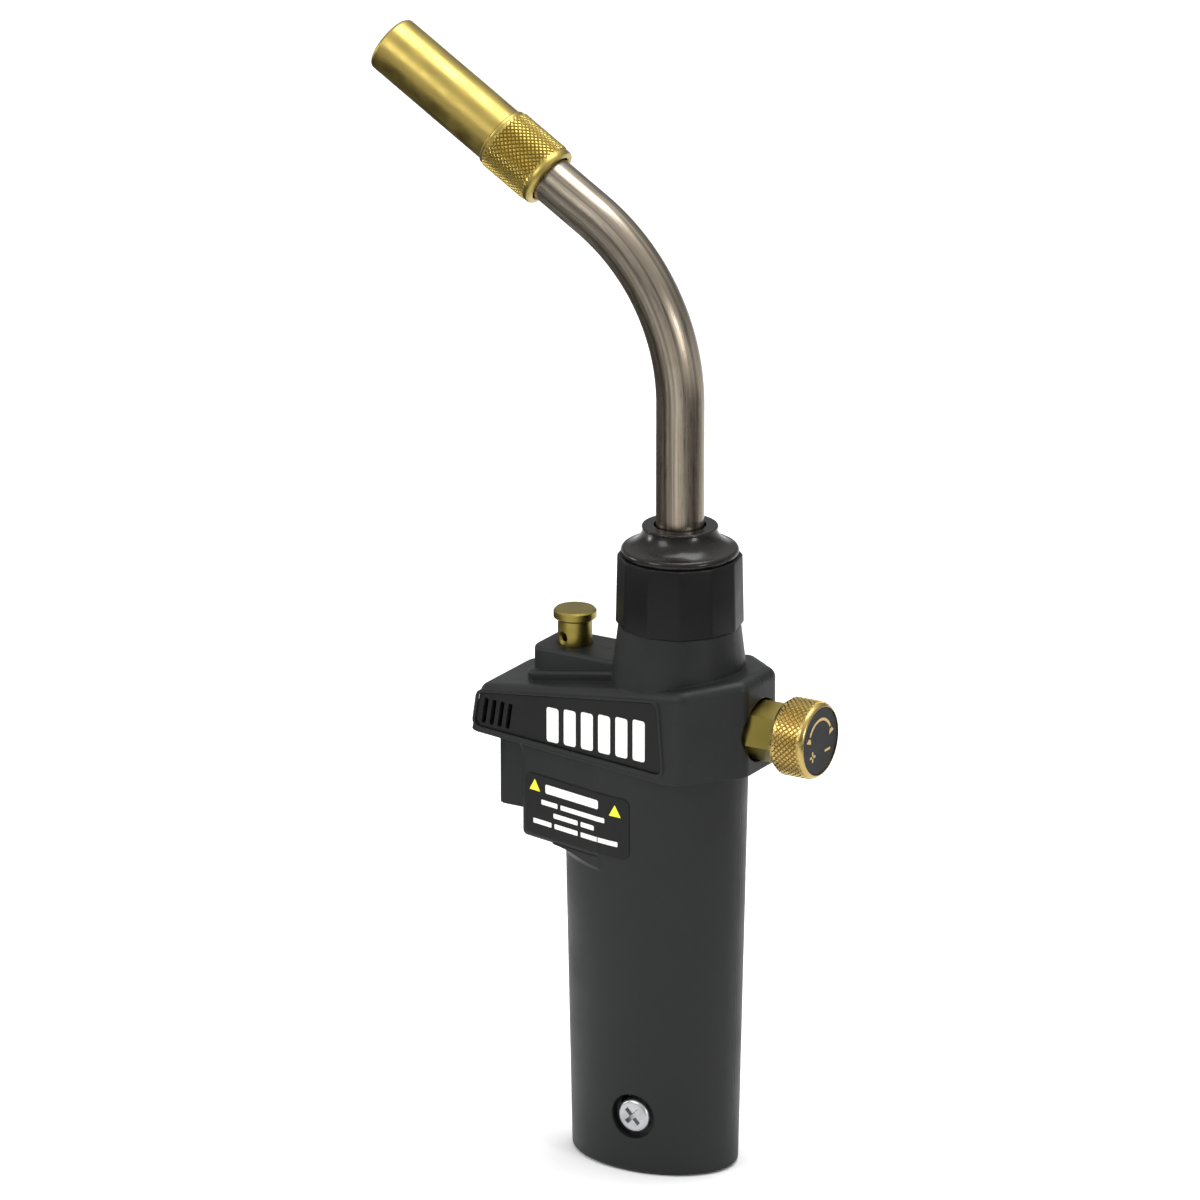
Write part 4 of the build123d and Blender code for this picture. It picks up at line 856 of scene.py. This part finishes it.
class TORCH_OT_prints(bpy.types.Operator):
    """Build the plain printed marks on the panels and the sticker"""

    bl_idname = "torch.prints"
    bl_label = "Printed Marks"

    def execute(self, context):
        """Six plain bars on each side panel, and triangles over rows of plain bars on the sticker."""
        for node, side in (("left_panel", -1), ("right_panel", 1)):
            self.panel_bars(node, side)
        self.sticker_marks()
        return {"FINISHED"}

    def bar(self, x, z, width, height):
        """A plain bar with rounded corners in the XZ plane, sliced so that it can follow a curve."""
        bm = bmesh.new()
        bmesh.ops.create_grid(bm, x_segments=1, y_segments=1, size=0.5)
        place(bm, Matrix.Diagonal((width, height, 1, 1)))
        bmesh.ops.bevel(
            bm, geom=bm.verts[:], offset=min(width, height) * 0.18, segments=3, profile=0.5,
            affect="VERTICES", material=-1,
        )
        slices = max(1, round(width / BAR_SLICE))
        for step in range(1, slices):
            cut = (width * (step / slices - 0.5), 0, 0)
            geom = bm.verts[:] + bm.edges[:] + bm.faces[:]
            bmesh.ops.bisect_plane(bm, geom=geom, plane_co=cut, plane_no=(1, 0, 0))
        place(bm, Matrix(((1, 0, 0, x), (0, 0, 1, 0), (0, 1, 0, z), (0, 0, 0, 1))))
        return bm

    def wrapped(self, bm, node, side):
        """Lays flat marks onto a node's outer skin, straight in along Y."""
        mesh = frame["nodes"][node].data
        tree = BVHTree.FromPolygons([v.co for v in mesh.vertices], [p.vertices for p in mesh.polygons])
        for vert in bm.verts:
            start = Vector((vert.co.x, side * 0.1, vert.co.z))
            hit, normal = tree.ray_cast(start, Vector((0, -side, 0)))[:2]
            if hit is None:
                raise RuntimeError(f"a mark lies off {node}")
            vert.co = hit + normal * sizes().print_height
        for face in bm.faces:
            face.normal_update()
            if face.normal.y * side < 0:
                face.normal_flip()
        return bm

    def panel_bars(self, node, side):
        """Six upright bars in a row that follows the panel's middle line."""
        low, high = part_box(node)
        middle = Vector(((low.x + high.x) / 2, 0, (low.z + high.z) / 2))
        bars = None
        for step in range(PANEL_BARS):
            x = middle.x + PANEL_FIRST_BAR[0] + step * PANEL_BAR_PITCH
            z = middle.z + PANEL_FIRST_BAR[1] + step * PANEL_BAR_RISE
            bar = self.bar(x, z, PANEL_BAR_WIDTH, PANEL_BAR_HEIGHT + step * PANEL_BAR_GROWTH)
            bars = joined(bars, bar) if bars else bar
        finish_piece(
            self.wrapped(bars, node, side), node + "_marks", "ink_white_printed", "housing"
        )

    def sticker_marks(self):
        """Two plain triangles, and four rows of plain bars."""
        low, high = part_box("left_label")
        triangles = None
        for x, z in ((low.x + 3.4 * MM, high.z - 3.6 * MM), (high.x - 4.4 * MM, high.z - 4.4 * MM)):
            triangle = bmesh.new()
            bmesh.ops.create_circle(triangle, cap_ends=True, segments=3, radius=TRIANGLE_RADIUS)
            bmesh.ops.bevel(
                triangle, geom=triangle.verts[:], offset=0.25 * MM, segments=3, profile=0.5,
                affect="VERTICES", material=-1,
            )
            place(triangle, Matrix(((1, 0, 0, x), (0, 0, 1, 0), (0, 1, 0, z), (0, 0, 0, 1))))
            triangles = joined(triangles, triangle) if triangles else triangle
        finish_piece(
            self.wrapped(triangles, "left_label", -1), "sticker_triangles", "ink_yellow_printed", "housing",
        )
        length = high.x - low.x
        bars = None
        for drop, height, spans in STICKER_ROWS:
            for first, last in spans:
                x = low.x + (first + last) / 2 * length
                bar = self.bar(x, high.z - drop * MM, (last - first) * length, height * MM)
                bars = joined(bars, bar) if bars else bar
        finish_piece(
            self.wrapped(bars, "left_label", -1), "sticker_bars", "ink_white_printed", "housing"
        )


class TORCH_OT_stage(bpy.types.Operator):
    """Build the studio floor, lights and camera"""

    bl_idname = "torch.stage"
    bl_label = "Studio"

    def execute(self, context):
        """A pale floor, soft lights and a long-lens camera."""
        self.floor()
        for softbox in SOFTBOXES:
            self.light(*softbox)
        self.flag("left_flag", (-0.75, -0.35))
        self.flag("right_flag", (0.85, -0.2))
        self.world()
        self.camera()
        context.scene.view_settings.view_transform = "Standard"
        return {"FINISHED"}

    def floor(self):
        """A wide pale sheet just under the torch's foot."""
        bm = bmesh.new()
        bmesh.ops.create_grid(bm, x_segments=1, y_segments=1, size=FLOOR_HALF)
        place(bm, Matrix.Translation((0, 0, CAD_BOX[0][2] - FLOOR_GAP)))
        mesh = bpy.data.meshes.new("studio_floor")
        bm.to_mesh(mesh)
        bm.free()
        material, tree, shader, coordinates = start_material("paper_matt_white", {"Roughness": 0.8})
        fibre = grain(tree, coordinates, 2.0 * MM, 3.0)
        pale = linear(colours().floor)
        shade = [c * 0.985 for c in pale[:3]] + [1.0]
        tint = blend_colours(tree, between(tree, fibre, 0.0, 1.0), pale, shade)
        tree.links.new(tint, shader.inputs["Base Color"])
        mesh.materials.append(material)
        floor = bpy.data.objects.new("studio_floor", mesh)
        bpy.context.scene.collection.objects.link(floor)

    def light(self, name, position, size, power):
        """A square softbox aimed at the torch's middle."""
        data = bpy.data.lights.new(name, "AREA")
        data.size = size
        data.energy = power
        lamp = bpy.data.objects.new(name, data)
        lamp.matrix_world = facing(position, Vector(position) - self.middle())
        bpy.context.scene.collection.objects.link(lamp)

    def flag(self, name, centre):
        """A dark card on the floor beside the torch, seen only in reflections."""
        bm = bmesh.new()
        bmesh.ops.create_grid(bm, x_segments=1, y_segments=1, size=1.0)
        place(bm, Matrix.Translation((*centre, CAD_BOX[0][2])) @ Matrix.Diagonal((*FLAG_HALF, 1, 1)))
        mesh = bpy.data.meshes.new(name)
        bm.to_mesh(mesh)
        bm.free()
        mesh.materials.append(bpy.data.materials["felt_black"])
        card = bpy.data.objects.new(name, mesh)
        card.visible_camera = False
        card.visible_diffuse = False
        card.visible_shadow = False
        bpy.context.scene.collection.objects.link(card)

    def world(self):
        """Surroundings pale at the horizon, dim just above it for contrast in metal, and bright overhead."""
        world = bpy.data.worlds.new("studio_air")
        world.use_nodes = True
        tree = world.node_tree
        background = tree.nodes["Background"]
        background.inputs["Strength"].default_value = 1.0
        up = add_node(tree, "ShaderNodeTexCoord").outputs["Generated"]
        height = add_node(tree, "ShaderNodeSeparateXYZ", inputs={"Vector": up}).outputs["Z"]
        climb = between(tree, height, 0.0, 1.0, 0.1, 0.75)
        rising = blend_colours(tree, climb, linear("#3C3D3F"), linear("#FFFFFF"))
        horizon = between(tree, height, 0.0, 1.0, 0.08, 0.14)
        tint = blend_colours(tree, horizon, linear("#EDEDED"), rising)
        tree.links.new(tint, background.inputs["Color"])
        bpy.context.scene.world = world

    def middle(self):
        """The middle of the torch's box."""
        return (Vector(CAD_BOX[0]) + Vector(CAD_BOX[1])) / 2

    def camera(self):
        """A long lens, turned to the left flank and rear and looking slightly down."""
        azimuth, elevation = math.radians(CAMERA_AZIMUTH), math.radians(CAMERA_ELEVATION)
        back = Vector((
            math.sin(azimuth) * math.cos(elevation),
            -math.cos(azimuth) * math.cos(elevation),
            math.sin(elevation),
        ))
        data = bpy.data.cameras.new("view_camera")
        data.sensor_width = CAMERA_SENSOR
        data.lens = CAMERA_LENS
        data.clip_start = 0.05
        camera = bpy.data.objects.new("view_camera", data)
        camera.matrix_world = facing(Vector(CAMERA_TARGET) + back * CAMERA_DISTANCE, back)
        bpy.context.scene.collection.objects.link(camera)
        bpy.context.scene.camera = camera


class TORCH_PT_panel(bpy.types.Panel):
    """The torch's tools in the sidebar"""

    bl_idname = "TORCH_PT_panel"
    bl_label = "Gas Torch"
    bl_space_type = "VIEW_3D"
    bl_region_type = "UI"
    bl_category = "Torch"

    def draw(self, context):
        """Lists the sizes, the colours and a button for each operator."""
        for group in (context.scene.torch_sizes, context.scene.torch_colours):
            for name in group.__annotations__:
                self.layout.prop(group, name)
        for operator in OPERATORS:
            self.layout.operator(operator.bl_idname)


OPERATORS = (
    TORCH_OT_finishes,
    TORCH_OT_flame_knob,
    TORCH_OT_nozzle,
    TORCH_OT_burner_tube,
    TORCH_OT_neck,
    TORCH_OT_springs,
    TORCH_OT_prints,
    TORCH_OT_stage,
)
CLASSES = (TorchSizes, TorchColours) + OPERATORS + (TORCH_PT_panel,)


def register():
    """Registers the classes and hangs the two groups on the scene."""
    for cls in CLASSES:
        bpy.utils.register_class(cls)
    bpy.types.Scene.torch_sizes = PointerProperty(type=TorchSizes)
    bpy.types.Scene.torch_colours = PointerProperty(type=TorchColours)


def unregister():
    """Takes the groups and the classes away again."""
    del bpy.types.Scene.torch_colours
    del bpy.types.Scene.torch_sizes
    for cls in reversed(CLASSES):
        bpy.utils.unregister_class(cls)


def main():
    """Builds every piece."""
    register()
    bpy.ops.torch.finishes()
    bpy.ops.torch.flame_knob()
    bpy.ops.torch.nozzle()
    bpy.ops.torch.burner_tube()
    bpy.ops.torch.neck()
    bpy.ops.torch.springs()
    bpy.ops.torch.prints()
    bpy.ops.torch.stage()


if __name__ == "__main__":
    main()
